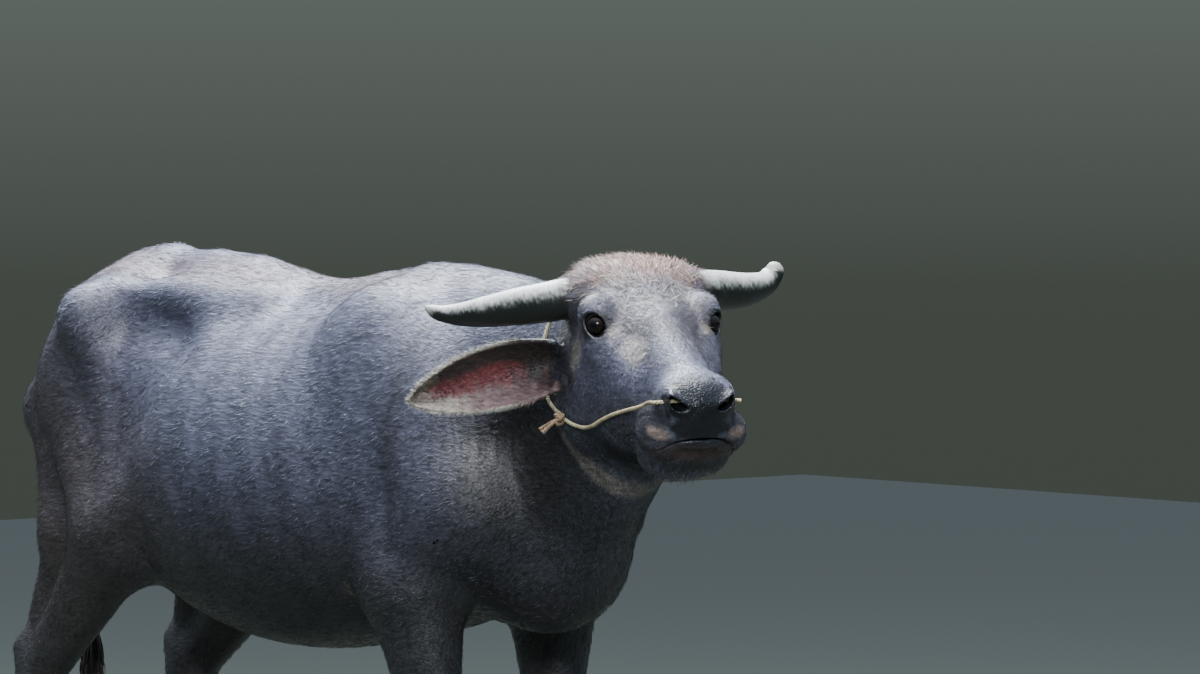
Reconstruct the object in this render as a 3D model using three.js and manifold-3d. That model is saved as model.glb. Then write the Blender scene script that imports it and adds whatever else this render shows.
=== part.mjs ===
// A young swamp buffalo cow, life size, standing with its head turned to its right, in a nose rope and halter.
// Millimetres. X forward, Y to the animal's left, Z up, the floor at 0 and X = 0 above the elbows.
import * as THREE from 'three';
import { mergeVertices } from 'three/addons/utils/BufferGeometryUtils.js';
import Module from 'manifold-3d';

const wasm = await Module();
wasm.setup();

// Driving dimensions
const WITHERS_HEIGHT = 1142;
const CHEST_BOTTOM = 548;
const BELLY_WIDTH = 560;
const HOOK_SPREAD = 430;
const GAP = 0.3;
const COAT = 4;
const FACE_COAT = 2.5;
const HOOF_HEIGHT = 56;
const CLAW_SPLIT = 3;
const HORN_BASE = 33;
const HORN_TIP = { right: 7, left: 15 };
const HORN_TAPER = 2.4;
const EAR_WIDTH = 101;
const EAR_THICK = 12;
const EAR_EDGE = 6;
const EAR_RISE = 3;
const EYE_RADIUS = 20;
const ROPE_RADIUS = 3;
const ROPE_LIFT = 6.5;
const KNOT_RADIUS = 10;
const ROPE_POINTS = 46;
const ROPE_STEPS = { nose: 38, poll: 28 };
const NOSTRIL_REACH = 50;

// Place of the head: between the eyes, turned to the right and nose down
const HEAD_PLACE = [592, -112, 1075];
const HEAD_YAW = -22;
const HEAD_PITCH = 25;

// Centre of the whole animal's box on the floor
const CENTRE = [-77.6, -11.4];

// Joints and bony points
const TOP_LINE = [[152, 1117, 48], [-46, WITHERS_HEIGHT, 47], [-160, 1124, 44], [-275, 1109, 42], [-400, 1120, 41],
  [-500, 1139, 40], [-610, 1150, 40], [-714, 1158, 40], [-785, 1146, 40], [-850, 1108, 38], [-915, 1040, 32]];
const TOP_SWELL = 4;
const LINK_CREASE = 10;
const HOOK = [-722, HOOK_SPREAD / 2 - 28, 1050];
const PIN = [-934, 99, 880];
const LOIN_EDGE = [[-690, 134, 1074], [-380, 84, 1074]];
const FORE_STEP = { 1: 18, '-1': 54 };
const HIND_STEP = { 1: 40, '-1': 0 };

const SIDES = [['left', 1], ['right', -1]];

// How the rays that find the skin are walked
const RAY_STEPS = 90;
const RAY_CAUTION = 0.7;
const RAY_CLOSE = 0.02;
const LIMIT_PAST = 60;
const FAR = 1e4;

// Distance to a bone with round ends, which tapers, and is thinned across Y
function bone(a, b, ra, rb = ra, flat = 1) {
  const d = [b[0] - a[0], b[1] - a[1], b[2] - a[2]];
  const dd = d[0] * d[0] + d[1] * d[1] + d[2] * d[2];
  return (x, y, z) => {
    const qx = x - a[0];
    const qy = y - a[1];
    const qz = z - a[2];
    const t = Math.min(Math.max((qx * d[0] + qy * d[1] + qz * d[2]) / dd, 0), 1);
    const r = ra + (rb - ra) * t;
    const ex = qx - t * d[0];
    const ey = qy - t * d[1];
    const ez = qz - t * d[2];
    const real = Math.hypot(ex, ey, ez);
    const thin = Math.hypot(ex, ey / flat, ez);
    return thin < 1e-6 ? -r * flat : real * (1 - r / thin);
  };
}

// Distance to an ellipsoid turned about Y by tilt degrees, nose down
function mass(c, radii, tilt = 0) {
  const co = Math.cos(THREE.MathUtils.degToRad(tilt));
  const si = Math.sin(THREE.MathUtils.degToRad(tilt));
  return (x, y, z) => {
    const px = x - c[0];
    const pz = z - c[2];
    const qx = (px * co - pz * si) / radii[0];
    const qy = (y - c[1]) / radii[1];
    const qz = (px * si + pz * co) / radii[2];
    const k = Math.hypot(qx, qy, qz);
    const g = Math.hypot(qx / radii[0], qy / radii[1], qz / radii[2]);
    return g < 1e-9 ? -Math.min(...radii) : k * (k - 1) / g;
  };
}

// Distance to a row of bones, each with the end of the last
function chain(points, radii) {
  const bones = points.slice(1).map((p, i) => bone(points[i], p, radii[i], radii[i + 1]));
  return (x, y, z) => bones.reduce((d, link) => join(d, link(x, y, z), LINK_CREASE), FAR);
}

// Two distances joined with a soft crease of width k, or the second cut softly out of the first
function join(a, b, k) {
  const h = Math.max(k - Math.abs(a - b), 0) / k;
  return Math.min(a, b) - h * h * k / 4;
}
const carve = (a, b, k) => -join(-a, b, k);

const mirror = (p, s) => [p[0], p[1] * s, p[2]];
const moved = (p, dx) => [p[0] + dx, p[1], p[2]];

// Flesh of the trunk and neck: each entry is a shape and the width of its crease with what is before it
function trunkFlesh() {
  const flesh = [
    // Belly, chest, loin, brisket and the middle of the rump
    [mass([-330, 0, 800], [455, BELLY_WIDTH / 2, 282]), 1],
    [mass([-20, 0, 850], [330, 195, 268]), 90],
    [mass([-560, 0, 900], [240, 205, 225]), 90],
    [mass([210, 0, 705], [135, 112, 128], 30), 70],
    [mass([-778, 0, 860], [138, 118, 190], -8), 60],
  ];
  flesh.push([chain(TOP_LINE.map(([x, z, r]) => [x, 0, z - r - TOP_SWELL]), TOP_LINE.map(([, , r]) => r)), 60]);
  // Neck, deep and flat, with the windpipe and the loose skin under it
  flesh.push([bone([60, 0, 930], [300, -18, 965], 185, 150, 0.62), 70]);
  flesh.push([bone([300, -18, 965], [440, -66, 1002], 150, 118, 0.66), 60]);
  flesh.push([bone([248, 0, 732], [442, -40, 880], 106, 84, 0.88), 70]);
  for (const [, s] of SIDES) {
    // Hip bone out to its hook and back to the pin, rump, buttock, flank fold, shoulder blade and edge of the loin
    flesh.push([bone([-745, 0, 1078], mirror(HOOK, s), 44, 31), 60]);
    flesh.push([bone(mirror(HOOK, s), mirror(PIN, s), 29, 40), 60]);
    flesh.push([mass(mirror([-800, 60, 1045], s), [95, 90, 66], -26), 60]);
    flesh.push([mass(mirror([-775, 98, 955], s), [110, 90, 105], -30), 50]);
    flesh.push([bone(mirror([-700, 176, 1010], s), mirror([-600, 200, 740], s), 26, 44), 70]);
    flesh.push([mass(mirror([-30, 112, 955], s), [95, 60, 140], -22), 90]);
    flesh.push([bone(mirror(LOIN_EDGE[0], s), mirror(LOIN_EDGE[1], s), 24, 12), 70]);
  }
  return flesh;
}

// A foreleg: shoulder blade, arm, triceps, forearm and its rear edge, knee, cannon, sinew, fetlock, pastern, heel
function foreleg(s, step) {
  const at = (p, share = 1) => moved(mirror(p, s), step * share);
  return [
    [bone(mirror([-20, 112, 1010], s), at([160, 136, 790], 0.3), 62, 74, 0.8), 95],
    [bone(at([160, 142, 770], 0.3), at([40, 152, 660], 0.5), 74, 72, 0.85), 60],
    [bone(mirror([-20, 128, 880], s), at([-2, 158, 660], 0.5), 82, 52, 0.7), 60],
    [bone(at([44, 150, 630], 0.7), at([62, 138, 400]), 80, 37, 0.85), 40],
    [bone(at([-12, 150, 640], 0.5), at([48, 138, 430]), 34, 26, 0.8), 40],
    [mass(at([66, 136, 352]), [41, 39, 50]), 30],
    [bone(at([62, 136, 330]), at([62, 135, 160]), 29, 26), 30],
    [bone(at([46, 135, 320]), at([46, 135, 150]), 20, 20), 20],
    [mass(at([58, 135, 128]), [37, 38, 34]), 22],
    [bone(at([62, 135, 115]), at([76, 135, 60]), 31, 34), 22],
    [mass(at([54, 135, 52]), [26, 42, 30]), 20],
  ];
}

// A hind leg: thigh, hamstring, gaskin, the sinew to the hock, hock, cannon, sinew, fetlock, pastern, heel
function hindleg(s, step) {
  const at = (p, share = 1) => moved(mirror(p, s), step * share);
  return [
    [bone(mirror([-775, 122, 885], s), at([-650, 176, 700], 0.3), 100, 82, 0.8), 60],
    [bone(mirror([-900, 94, 880], s), at([-835, 128, 690], 0.3), 54, 62, 0.9), 60],
    [bone(at([-650, 176, 690], 0.3), at([-868, 148, 480]), 78, 44, 0.75), 50],
    [bone(at([-830, 130, 690], 0.4), at([-936, 142, 490]), 52, 18, 0.7), 40],
    [bone(at([-940, 142, 480]), at([-905, 142, 392]), 28, 34, 0.85), 30],
    [mass(at([-905, 142, 430]), [40, 36, 58], -10), 30],
    [bone(at([-902, 142, 390]), at([-872, 138, 165]), 30, 26), 30],
    [bone(at([-916, 142, 390]), at([-892, 138, 160]), 20, 19), 20],
    [mass(at([-874, 138, 130]), [37, 37, 34]), 22],
    [bone(at([-868, 138, 115]), at([-856, 138, 60]), 30, 32), 22],
    [mass(at([-878, 138, 52]), [26, 39, 30]), 20],
  ];
}

// The hollow in front of each hip, and the flank that sinks in behind the last rib
const HOLLOWS = SIDES.flatMap(([, s]) => [
  [mass(mirror([-552, 244, 1034], s), [112, 96, 46], 10), 60],
  [mass(mirror([-600, 312, 930], s), [100, 100, 180], 28), 80],
]);

// Where the skin ends round each horn
const HORN_COLLAR = { 1: [-102, 98, 1], '-1': [-99, -91, -5] };

// Flesh of the head, in its own frame: X to the nose, Y left, Z up, 0 between the eyes
function headFlesh() {
  const flesh = [
    // Brain case, forehead, poll, upper jaw, nose bridge, nose, its pad, lips, chin, lower lip, floor of the mouth, jaw
    [mass([-78, 0, -20], [96, 84, 62]), 1],
    [mass([-45, 0, 0], [94, 84, 42], 6), 30],
    [bone([-110, -60, 4], [-110, 64, 4], 37), 34],
    [bone([10, 0, -40], [206, 0, -36], 64, 46, 1.04), 40],
    [bone([40, 0, 0], [205, 0, -10], 33, 27), 34],
    [mass([222, 0, -22], [46, 54, 42], 20), 26],
    [bone([221, -32, -9], [221, 28, -9], 28), 20],
    [mass([216, 4, -58], [49, 74, 30], 4), 24],
    [bone([190, -30, -120], [194, 42, -112], 33, 35), 30],
    [bone([206, -32, -86], [208, 42, -82], 26), 22],
    [bone([190, 0, -112], [50, 0, -150], 38, 46), 34],
    [mass([92, 0, -90], [110, 60, 62], 8), 40],
  ];
  for (const [, s] of SIDES) {
    // Brow, lower jaw, cheek muscle, cheek bone, cheek, hanging side of the lip and skin round the horn
    flesh.push([mass([-17, 84 * s, 8], [33, 27, 30]), 22]);
    flesh.push([bone([50, 0, -150], [-48, 48 * s, -188], 42, 44), 40]);
    flesh.push([mass([-34, 62 * s, -106], [86, 40, 98], 14), 40]);
    flesh.push([bone([24, 78 * s, -28], [104, 52 * s, -46], 24, 18), 26]);
    flesh.push([mass([38, 42 * s, -84], [104, 50, 76], 12), 40]);
    flesh.push([mass([202, 8 + 51 * s, -74], [44, 32, 27]), 20]);
    flesh.push([bone([-98, 70 * s, 0], HORN_COLLAR[s], 37, 33), 18]);
  }
  return flesh;
}

const HEAD_TURN = new THREE.Matrix4().compose(
  new THREE.Vector3(...HEAD_PLACE),
  new THREE.Quaternion().setFromEuler(new THREE.Euler(
    0, THREE.MathUtils.degToRad(HEAD_PITCH), THREE.MathUtils.degToRad(HEAD_YAW), 'ZYX')),
  new THREE.Vector3(1, 1, 1));
const HEAD_BACK = HEAD_TURN.clone().invert();
const headPoint = (p) => new THREE.Vector3(...p).applyMatrix4(HEAD_TURN);

const bodyFlesh = [...trunkFlesh(), ...SIDES.flatMap(([, s]) => [
  ...foreleg(s, FORE_STEP[s]), ...hindleg(s, HIND_STEP[s])])];
const skull = headFlesh();

function blended(flesh, x, y, z) {
  let d = flesh[0][0](x, y, z);
  for (let i = 1; i < flesh.length; i += 1) {
    d = join(d, flesh[i][0](x, y, z), flesh[i][1]);
  }
  return d;
}

function bodyField(x, y, z) {
  let d = blended(bodyFlesh, x, y, z);
  for (const [hollow, k] of HOLLOWS) {
    d = carve(d, hollow(x, y, z), k);
  }
  return d;
}

// The whole skin, grown by the coat, which is shorter on the face
const e = HEAD_BACK.elements;
function wholeField(x, y, z) {
  const hx = e[0] * x + e[4] * y + e[8] * z + e[12];
  const hy = e[1] * x + e[5] * y + e[9] * z + e[13];
  const hz = e[2] * x + e[6] * y + e[10] * z + e[14];
  const coat = THREE.MathUtils.mapLinear(THREE.MathUtils.clamp(hx, -200, -60), -200, -60, COAT, FACE_COAT);
  return join(bodyField(x, y, z), blended(skull, hx, hy, hz), 50) - coat;
}

// The two sides of a cut through a point: below keeps what its normal points away from, above the rest
const below = (point, normal) => {
  const n = new THREE.Vector3(...normal).normalize();
  return { n, w: n.dot(new THREE.Vector3(...point)) };
};
const above = (point, normal) => below(point, normal.map((v) => -v));

// Solid of a closed geometry, and geometry of a solid
function solid(geometry) {
  const bare = geometry.clone();
  bare.deleteAttribute('normal');
  bare.deleteAttribute('uv');
  const merged = mergeVertices(bare, 1e-3);
  return new wasm.Manifold(new wasm.Mesh({
    numProp: 3,
    vertProperties: new Float32Array(merged.attributes.position.array),
    triVerts: new Uint32Array(merged.index.array),
  }));
}
function geometryOf(body) {
  const mesh = body.getMesh();
  const geometry = new THREE.BufferGeometry();
  geometry.setAttribute('position', new THREE.BufferAttribute(new Float32Array(mesh.vertProperties), 3));
  geometry.setIndex(new THREE.BufferAttribute(new Uint32Array(mesh.triVerts), 1));
  return geometry;
}

// A capsule about the line from a to b whose points run out along their own rays to the skin, then cut by planes.
// Rays that would run down a leg stop at a limit past the cut. A grown one stands that much further out.
function wrapped(a, b, rings, sides, caps, cuts, limits = [], grow = 0) {
  const start = new THREE.Vector3(...a);
  const along = new THREE.Vector3(...b).sub(start);
  const length = along.length();
  const capsule = new THREE.CapsuleGeometry(1, length, caps, sides, rings);
  const turn = new THREE.Quaternion().setFromUnitVectors(new THREE.Vector3(0, 1, 0), along.normalize());
  const place = capsule.attributes.position;
  const inside = (p) => Math.max(wholeField(p.x, p.y, p.z) - grow, ...limits.map((c) => c.n.dot(p) - c.w - LIMIT_PAST));
  const point = new THREE.Vector3();
  for (let i = 0; i < place.count; i += 1) {
    point.fromBufferAttribute(place, i);
    const height = THREE.MathUtils.clamp(point.y, -length / 2, length / 2);
    const ray = point.clone().setY(point.y - height).normalize().applyQuaternion(turn);
    const foot = start.clone().addScaledVector(along, height + length / 2);
    let t = 0;
    for (let k = 0; k < RAY_STEPS; k += 1) {
      const d = inside(point.copy(foot).addScaledVector(ray, t));
      t -= d * RAY_CAUTION;
      if (Math.abs(d) < RAY_CLOSE) {
        break;
      }
    }
    point.copy(foot).addScaledVector(ray, t);
    place.setXYZ(i, point.x, point.y, point.z);
  }
  let body = solid(capsule);
  for (const c of cuts) {
    body = body.trimByPlane([-c.n.x, -c.n.y, -c.n.z], -c.w + GAP / 2);
  }
  return body;
}

// A capsule bent along a curve; radiusAt gives the two half widths of its section at each share of the length
function swept(curve, radiusAt, sides, rings, caps, across = new THREE.Vector3(0, 0, 1)) {
  const capsule = new THREE.CapsuleGeometry(1, 1, caps, sides, rings);
  const place = capsule.attributes.position;
  for (let i = 0; i < place.count; i += 1) {
    const v = new THREE.Vector3().fromBufferAttribute(place, i);
    const u = THREE.MathUtils.clamp(v.y + 0.5, 0, 1);
    const past = v.y + 0.5 - u;
    const along = curve.getTangentAt(u);
    const side = new THREE.Vector3().crossVectors(along, across).normalize();
    const up = new THREE.Vector3().crossVectors(side, along);
    const [rs, ru] = radiusAt(u);
    const p = curve.getPointAt(u).addScaledVector(along, past * Math.min(rs, ru));
    p.addScaledVector(side, v.x * rs).addScaledVector(up, v.z * ru);
    place.setXYZ(i, p.x, p.y, p.z);
  }
  return solid(capsule);
}

// A point moved straight out of the coat, or back to it, until it is lift above it
function laid(p, lift) {
  const q = p.clone();
  for (let k = 0; k < 12; k += 1) {
    const d = wholeField(q.x, q.y, q.z);
    const slope = new THREE.Vector3(
      wholeField(q.x + 1, q.y, q.z) - d,
      wholeField(q.x, q.y + 1, q.z) - d,
      wholeField(q.x, q.y, q.z + 1) - d).normalize();
    q.addScaledVector(slope, (lift - d) * 0.9);
  }
  return q;
}

// Cuts between the parts
const heading = [Math.cos(THREE.MathUtils.degToRad(HEAD_YAW)), Math.sin(THREE.MathUtils.degToRad(HEAD_YAW)), 0];
const headCut = [headPoint([-176, 0, -60]).toArray(), heading];
const muzzleCut = [headPoint([150, 0, 0]).toArray(),
  new THREE.Vector3(1, 0, -0.12).transformDirection(HEAD_TURN).toArray()];
const neckCut = [[100, 0, 1150], [0.923, 0, 0.386]];
const shoulderCut = [[-98, 0, 800], [1, 0, 0]];
const loinCut = [[-650, 0, 1100], [0.947, 0, 0.322]];
const foreCut = [[0, 0, CHEST_BOTTOM - 14], [0, 0, 1]];
const hindCut = [[-570, 0, 535], [0.45, 0, 1]];
const kneeCut = [[0, 0, 352], [0, 0, 1]];
const hockCut = [[0, 0, 425], [0, 0, 1]];
const hoofCut = [[0, 0, HOOF_HEIGHT], [0, 0, 1]];

const buffalo = new THREE.Group();
buffalo.position.set(-CENTRE[0], -CENTRE[1], 0);
const finish = (color, roughness) => new THREE.MeshStandardMaterial({ color, roughness, metalness: 0 });
const hide = finish(0x3f3d44, 0.7);
const hornFinish = finish(0x8b9290, 0.45);
const hoofFinish = finish(0x2b2926, 0.6);
const eyeFinish = finish(0x0b0806, 0.05);
const hairFinish = finish(0x2a2523, 0.8);
const ropeFinish = finish(0xb9a671, 0.85);
const add = (name, body, material) => {
  const mesh = new THREE.Mesh(geometryOf(body), material);
  mesh.name = name;
  buffalo.add(mesh);
};

const headAlong = new THREE.Vector3(1, 0, 0).transformDirection(HEAD_TURN);

// Horns, each along its own curve in the head's frame
const HORN_LINES = {
  right: [[-92, -78, 0], [-100, -108, -9], [-110, -134, -20], [-130, -166, -36], [-162, -212, -62],
    [-188, -244, -79], [-204, -268, -84], [-214, -289, -78]],
  left: [[-92, 78, 4], [-100, 108, 2], [-120, 137, -8], [-160, 196, -30], [-196, 238, -44],
    [-222, 266, -48], [-235, 280, -36], [-239, 279, -21]],
};
const hornLine = (side) => new THREE.CatmullRomCurve3(HORN_LINES[side].map(headPoint));
const hornRadius = (side, grow) => (u) => {
  const thick = THREE.MathUtils.lerp(HORN_BASE, HORN_TIP[side], u ** HORN_TAPER) + grow;
  return [thick, thick * 0.86];
};
const horn = (side, grow) => swept(hornLine(side), hornRadius(side, grow), 10, 8, 2, headAlong);

// Ears: a leaf that cups forward, from its root to its tip, with its face turned to front
const EARS = {
  right: { root: [-106, -90, -120], tip: [-182, -306, -226], front: [0.8, -0.2, 0.45] },
  left: { root: [-106, 88, -98], tip: [-266, 198, -130], front: [0.55, 0.8, 0.2] },
};
function ear(side, grow) {
  const root = headPoint(EARS[side].root);
  const tip = headPoint(EARS[side].tip);
  const out = tip.clone().sub(root);
  const length = out.length();
  out.normalize();
  const facing = new THREE.Vector3(...EARS[side].front).transformDirection(HEAD_TURN);
  const up = new THREE.Vector3().crossVectors(out, facing).normalize();
  up.multiplyScalar(Math.sign(up.z));
  const front = new THREE.Vector3().crossVectors(up, out).normalize();
  front.multiplyScalar(Math.sign(front.dot(facing)));
  const hand = Math.sign(up.clone().cross(front).dot(out));
  const ball = new THREE.SphereGeometry(1, 14, 10);
  ball.rotateX(Math.PI / 2);
  const place = ball.attributes.position;
  for (let i = 0; i < place.count; i += 1) {
    const v = new THREE.Vector3().fromBufferAttribute(place, i);
    // v.z runs along the ear, v.x across it and v.y through it
    const u = (1 - Math.cos(Math.acos(THREE.MathUtils.clamp(-v.z, -1, 1)))) / 2;
    const ring = Math.max(Math.hypot(v.x, v.y), 1e-6);
    const half = earHalf(u);
    const across = hand * v.x / ring * (1 + grow / half);
    const shell = (v.y / ring) * (THREE.MathUtils.lerp(EAR_THICK, EAR_EDGE, u) / 2 + grow);
    const cup = earCup(u) * across * across;
    const p = root.clone().addScaledVector(out, u * (length + 2 * grow) - grow);
    p.addScaledVector(up, across * half * Math.cos(cup / half * 0.5) + EAR_RISE * Math.sin(Math.PI * u));
    p.addScaledVector(front, cup + shell);
    place.setXYZ(i, p.x, p.y, p.z);
  }
  return solid(ball);
}
const earHalf = (u) => EAR_WIDTH / 2 * Math.sin(Math.PI * Math.min(0.14 + u * 0.86, 1) ** 0.9) ** 0.62;
const earCup = (u) => THREE.MathUtils.lerp(46, 12, Math.sqrt(u));

// Eyes
const eyePlace = (s) => headPoint([2, 86 * s, 0]);

// A hollow in the head, such as an eye's socket or a nostril
const headHollow = (p, radii, tilt = 0) => {
  const ball = new THREE.SphereGeometry(1, 12, 8);
  ball.scale(...radii);
  ball.rotateY(THREE.MathUtils.degToRad(tilt));
  ball.translate(...p);
  ball.applyMatrix4(HEAD_TURN);
  return solid(ball);
};
const eyeBall = (s, grow) => {
  const ball = new THREE.SphereGeometry(EYE_RADIUS + grow, 10, 7);
  ball.translate(...eyePlace(s).toArray());
  return solid(ball);
};

// Tail and its switch of hair
const TAIL_LINE = new THREE.CatmullRomCurve3([[-850, 0, 1060], [-898, 0, 1030], [-930, 0, 960], [-940, -2, 860],
  [-942, -6, 720], [-940, -10, 590], [-940, -12, 500]].map((p) => new THREE.Vector3(...p)));
const SWITCH_LINE = new THREE.CatmullRomCurve3([[-940, -12, 474], [-938, -13, 415], [-934, -14, 340]]
  .map((p) => new THREE.Vector3(...p)));
const tail = (grow) => swept(TAIL_LINE, (u) => {
  const r = THREE.MathUtils.lerp(29, 12, u ** 0.6) + grow;
  return [r, r];
}, 9, 9, 2, new THREE.Vector3(0, 1, 0));

// One claw of a hoof: a flat sole, a straight inner side, a sloping toe
function claw(x, y, s, length, width) {
  const shape = new THREE.Shape();
  shape.moveTo(0, 0);
  shape.lineTo(length * 0.86, 0);
  shape.quadraticCurveTo(length, width * 0.06, length * 0.97, width * 0.22);
  shape.quadraticCurveTo(length * 0.8, width * 0.86, length * 0.42, width);
  shape.quadraticCurveTo(-length * 0.04, width, 0, width * 0.4);
  const block = new THREE.ExtrudeGeometry(shape, { depth: HOOF_HEIGHT - GAP, bevelEnabled: false, curveSegments: 4 });
  const place = block.attributes.position;
  for (let i = 0; i < place.count; i += 1) {
    if (place.getZ(i) > 1) {
      place.setX(i, 4 + place.getX(i) * 0.56);
      place.setY(i, 1 + place.getY(i) * 0.86);
    }
  }
  const body = solid(block);
  const placed = s > 0 ? body : body.mirror([0, 1, 0]);
  return placed.translate([x, y + s * CLAW_SPLIT, 0]);
}

// A dewclaw: a small blunt cone behind the fetlock
const dewclaw = (x, y, z, s, grow) => {
  const cone = new THREE.CapsuleGeometry(9 + grow, 14, 1, 6);
  cone.rotateY(THREE.MathUtils.degToRad(-32));
  cone.rotateX(THREE.MathUtils.degToRad(s * 12));
  cone.translate(x, y + s * 19, z);
  return solid(cone);
};

// Halter, in the head's frame: a rope through the nose to a knot on each cheek, and one behind the ears
const NOSE_ROPE = [[-26, 104, -176], [-6, 99, -174], [24, 92, -163], [56, 88, -142], [88, 85, -115], [130, 80, -82],
  [176, 72, -50], [214, 62, -22], [236, 52, -8], [242, 42, -5], [238, 30, -6], [234, 14, -6]];
const POLL_ROPE = [[-40, 106, -174], [-66, 108, -178], [-98, 106, -180], [-138, 98, -162], [-172, 90, -112],
  [-196, 80, -60], [-214, 52, -8], [-220, 16, 4]];
const KNOT = [-32, 105, -177];
const inNose = (p) => Math.abs(p.clone().applyMatrix4(HEAD_BACK).y) < NOSTRIL_REACH;
const lifted = (p, hangs) => (wholeField(p.x, p.y, p.z) > ROPE_LIFT && hangs ? p : laid(p, ROPE_LIFT));
function ropeLine(half, hangs) {
  const right = half.map(([x, y, z]) => headPoint([x, -y, z]));
  const left = half.map(headPoint).reverse();
  const rough = new THREE.CatmullRomCurve3([...right, ...left], false, 'centripetal').getSpacedPoints(ROPE_POINTS);
  const whole = rough.map((p) => (hangs && inNose(p) ? p : lifted(p, hangs)));
  return new THREE.CatmullRomCurve3(whole, false, 'centripetal');
}
const roped = (line, steps, grow) => {
  const ring = new THREE.Shape();
  ring.absarc(0, 0, ROPE_RADIUS + grow, 0, 2 * Math.PI);
  return solid(new THREE.ExtrudeGeometry(ring, {
    steps, extrudePath: line, bevelEnabled: false, curveSegments: 4,
  }));
};
// A knot with its two loose ends, each pointing so far back and out for one down
const LOOSE_ENDS = [[2.2, 1.1], [0.9, 1.2]];
function knot(s, grow) {
  const at = laid(headPoint([KNOT[0], KNOT[1] * s, KNOT[2]]), KNOT_RADIUS + 1.5);
  const ball = new THREE.SphereGeometry(KNOT_RADIUS + grow, 8, 6);
  ball.scale(1.25, 0.95, 1);
  let body = solid(ball);
  for (const [back, out] of LOOSE_ENDS) {
    const end = new THREE.CapsuleGeometry(ROPE_RADIUS - 0.4 + grow, 22, 1, 5);
    end.translate(0, 14, 0);
    const way = new THREE.Vector3(-back, s * out, -1).normalize();
    end.applyQuaternion(new THREE.Quaternion().setFromUnitVectors(new THREE.Vector3(0, 1, 0), way));
    body = body.add(solid(end));
  }
  return body.translate([at.x, at.y, at.z]);
}

const noseLine = ropeLine(NOSE_ROPE, true);
const pollLine = ropeLine(POLL_ROPE, false);
const headWrap = (cuts, grow) => wrapped(headPoint([-128, 0, -72]).toArray(), headPoint([150, 0, -62]).toArray(),
  9, 24, 3, cuts, [], grow);
const muzzle = wrapped(headPoint([140, 0, -60]).toArray(), headPoint([205, 0, -60]).toArray(), 3, 24, 4,
  [above(...muzzleCut)]);
const neck = wrapped([150, 0, 900], [560, -90, 1010], 8, 22, 2, [below(...headCut), above(...neckCut)]);
const hindquarters = wrapped([-845, 0, 880], [-480, 0, 860], 6, 30, 4,
  [below(...loinCut), above(...hindCut)], [above(...hindCut)]);

let head = headWrap([above(...headCut), below(...muzzleCut)], 0);
const headRoom = headWrap([], GAP);
for (const [side, s] of SIDES) {
  head = head.subtract(horn(side, GAP)).subtract(eyeBall(s, GAP));
  head = head.subtract(headHollow([22, 110 * s, 6], [27, 20, 19]));
}
add('head', head, hide);
const nostrils = headHollow([266, -40, -3], [24, 14, 11], 30).add(headHollow([266, 34, -3], [24, 14, 11], 30));
add('muzzle', muzzle.subtract(nostrils).subtract(roped(noseLine, ROPE_STEPS.nose, GAP)), hide);
add('neck', neck.subtract(ear('right', GAP)).subtract(ear('left', GAP)), hide);
add('forequarters', wrapped([-140, 0, 850], [250, 0, 800], 7, 30, 2,
  [below(...neckCut), above(...shoulderCut), above(...foreCut)], [above(...foreCut)]), hide);
add('barrel', wrapped([-640, 0, 830], [-60, 0, 830], 8, 24, 1, [below(...shoulderCut), above(...loinCut)]), hide);
add('hindquarters', hindquarters.subtract(tail(GAP)), hide);
add('tail', tail(0), hide);
add('tail_switch', swept(SWITCH_LINE, (u) => {
  const r = 13 + 12 * Math.sin(Math.PI * Math.min(u * 1.15, 1));
  return [r, r];
}, 9, 4, 2, new THREE.Vector3(0, 1, 0)), hairFinish);
for (const [side, s] of SIDES) {
  const fore = FORE_STEP[s];
  const hind = HIND_STEP[s];
  add(`foreleg_upper_${side}`, wrapped([30 + fore * 0.6, 150 * s, 600], [60 + fore, 138 * s, 345], 5, 12, 1,
    [below(...foreCut), above(...kneeCut)]), hide);
  add(`hindleg_upper_${side}`, wrapped([-660 + hind * 0.6, 172 * s, 640], [-905 + hind, 145 * s, 425], 6, 14, 1,
    [below(...hindCut), above(...hockCut)]), hide);
  const dewsFore = [1, -1].map((k) => [28 + fore, 135 * s, 98, k]);
  const dewsHind = [1, -1].map((k) => [-904 + hind, 138 * s, 98, k]);
  let cannonFore = wrapped([60 + fore, 136 * s, 362], [66 + fore, 135 * s, 54], 8, 10, 1,
    [below(...kneeCut), above(...hoofCut)]);
  let cannonHind = wrapped([-908 + hind, 142 * s, 435], [-862 + hind, 138 * s, 54], 9, 10, 1,
    [below(...hockCut), above(...hoofCut)]);
  for (const dew of dewsFore) {
    cannonFore = cannonFore.subtract(dewclaw(...dew, GAP));
  }
  for (const dew of dewsHind) {
    cannonHind = cannonHind.subtract(dewclaw(...dew, GAP));
  }
  add(`foreleg_lower_${side}`, cannonFore, hide);
  add(`hindleg_lower_${side}`, cannonHind, hide);
  for (const [which, k] of [['outer', s], ['inner', -s]]) {
    add(`claw_fore_${side}_${which}`, claw(36 + fore, 135 * s, k, 114, 47), hoofFinish);
    add(`claw_hind_${side}_${which}`, claw(-894 + hind, 138 * s, k, 108, 43), hoofFinish);
    add(`dewclaw_fore_${side}_${which}`, dewclaw(28 + fore, 135 * s, 98, k, 0), hoofFinish);
    add(`dewclaw_hind_${side}_${which}`, dewclaw(-904 + hind, 138 * s, 98, k, 0), hoofFinish);
  }
  add(`horn_${side}`, horn(side, 0), hornFinish);
  add(`ear_${side}`, ear(side, 0).subtract(headRoom), hide);
  add(`eye_${side}`, eyeBall(s, 0), eyeFinish);
}

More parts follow.
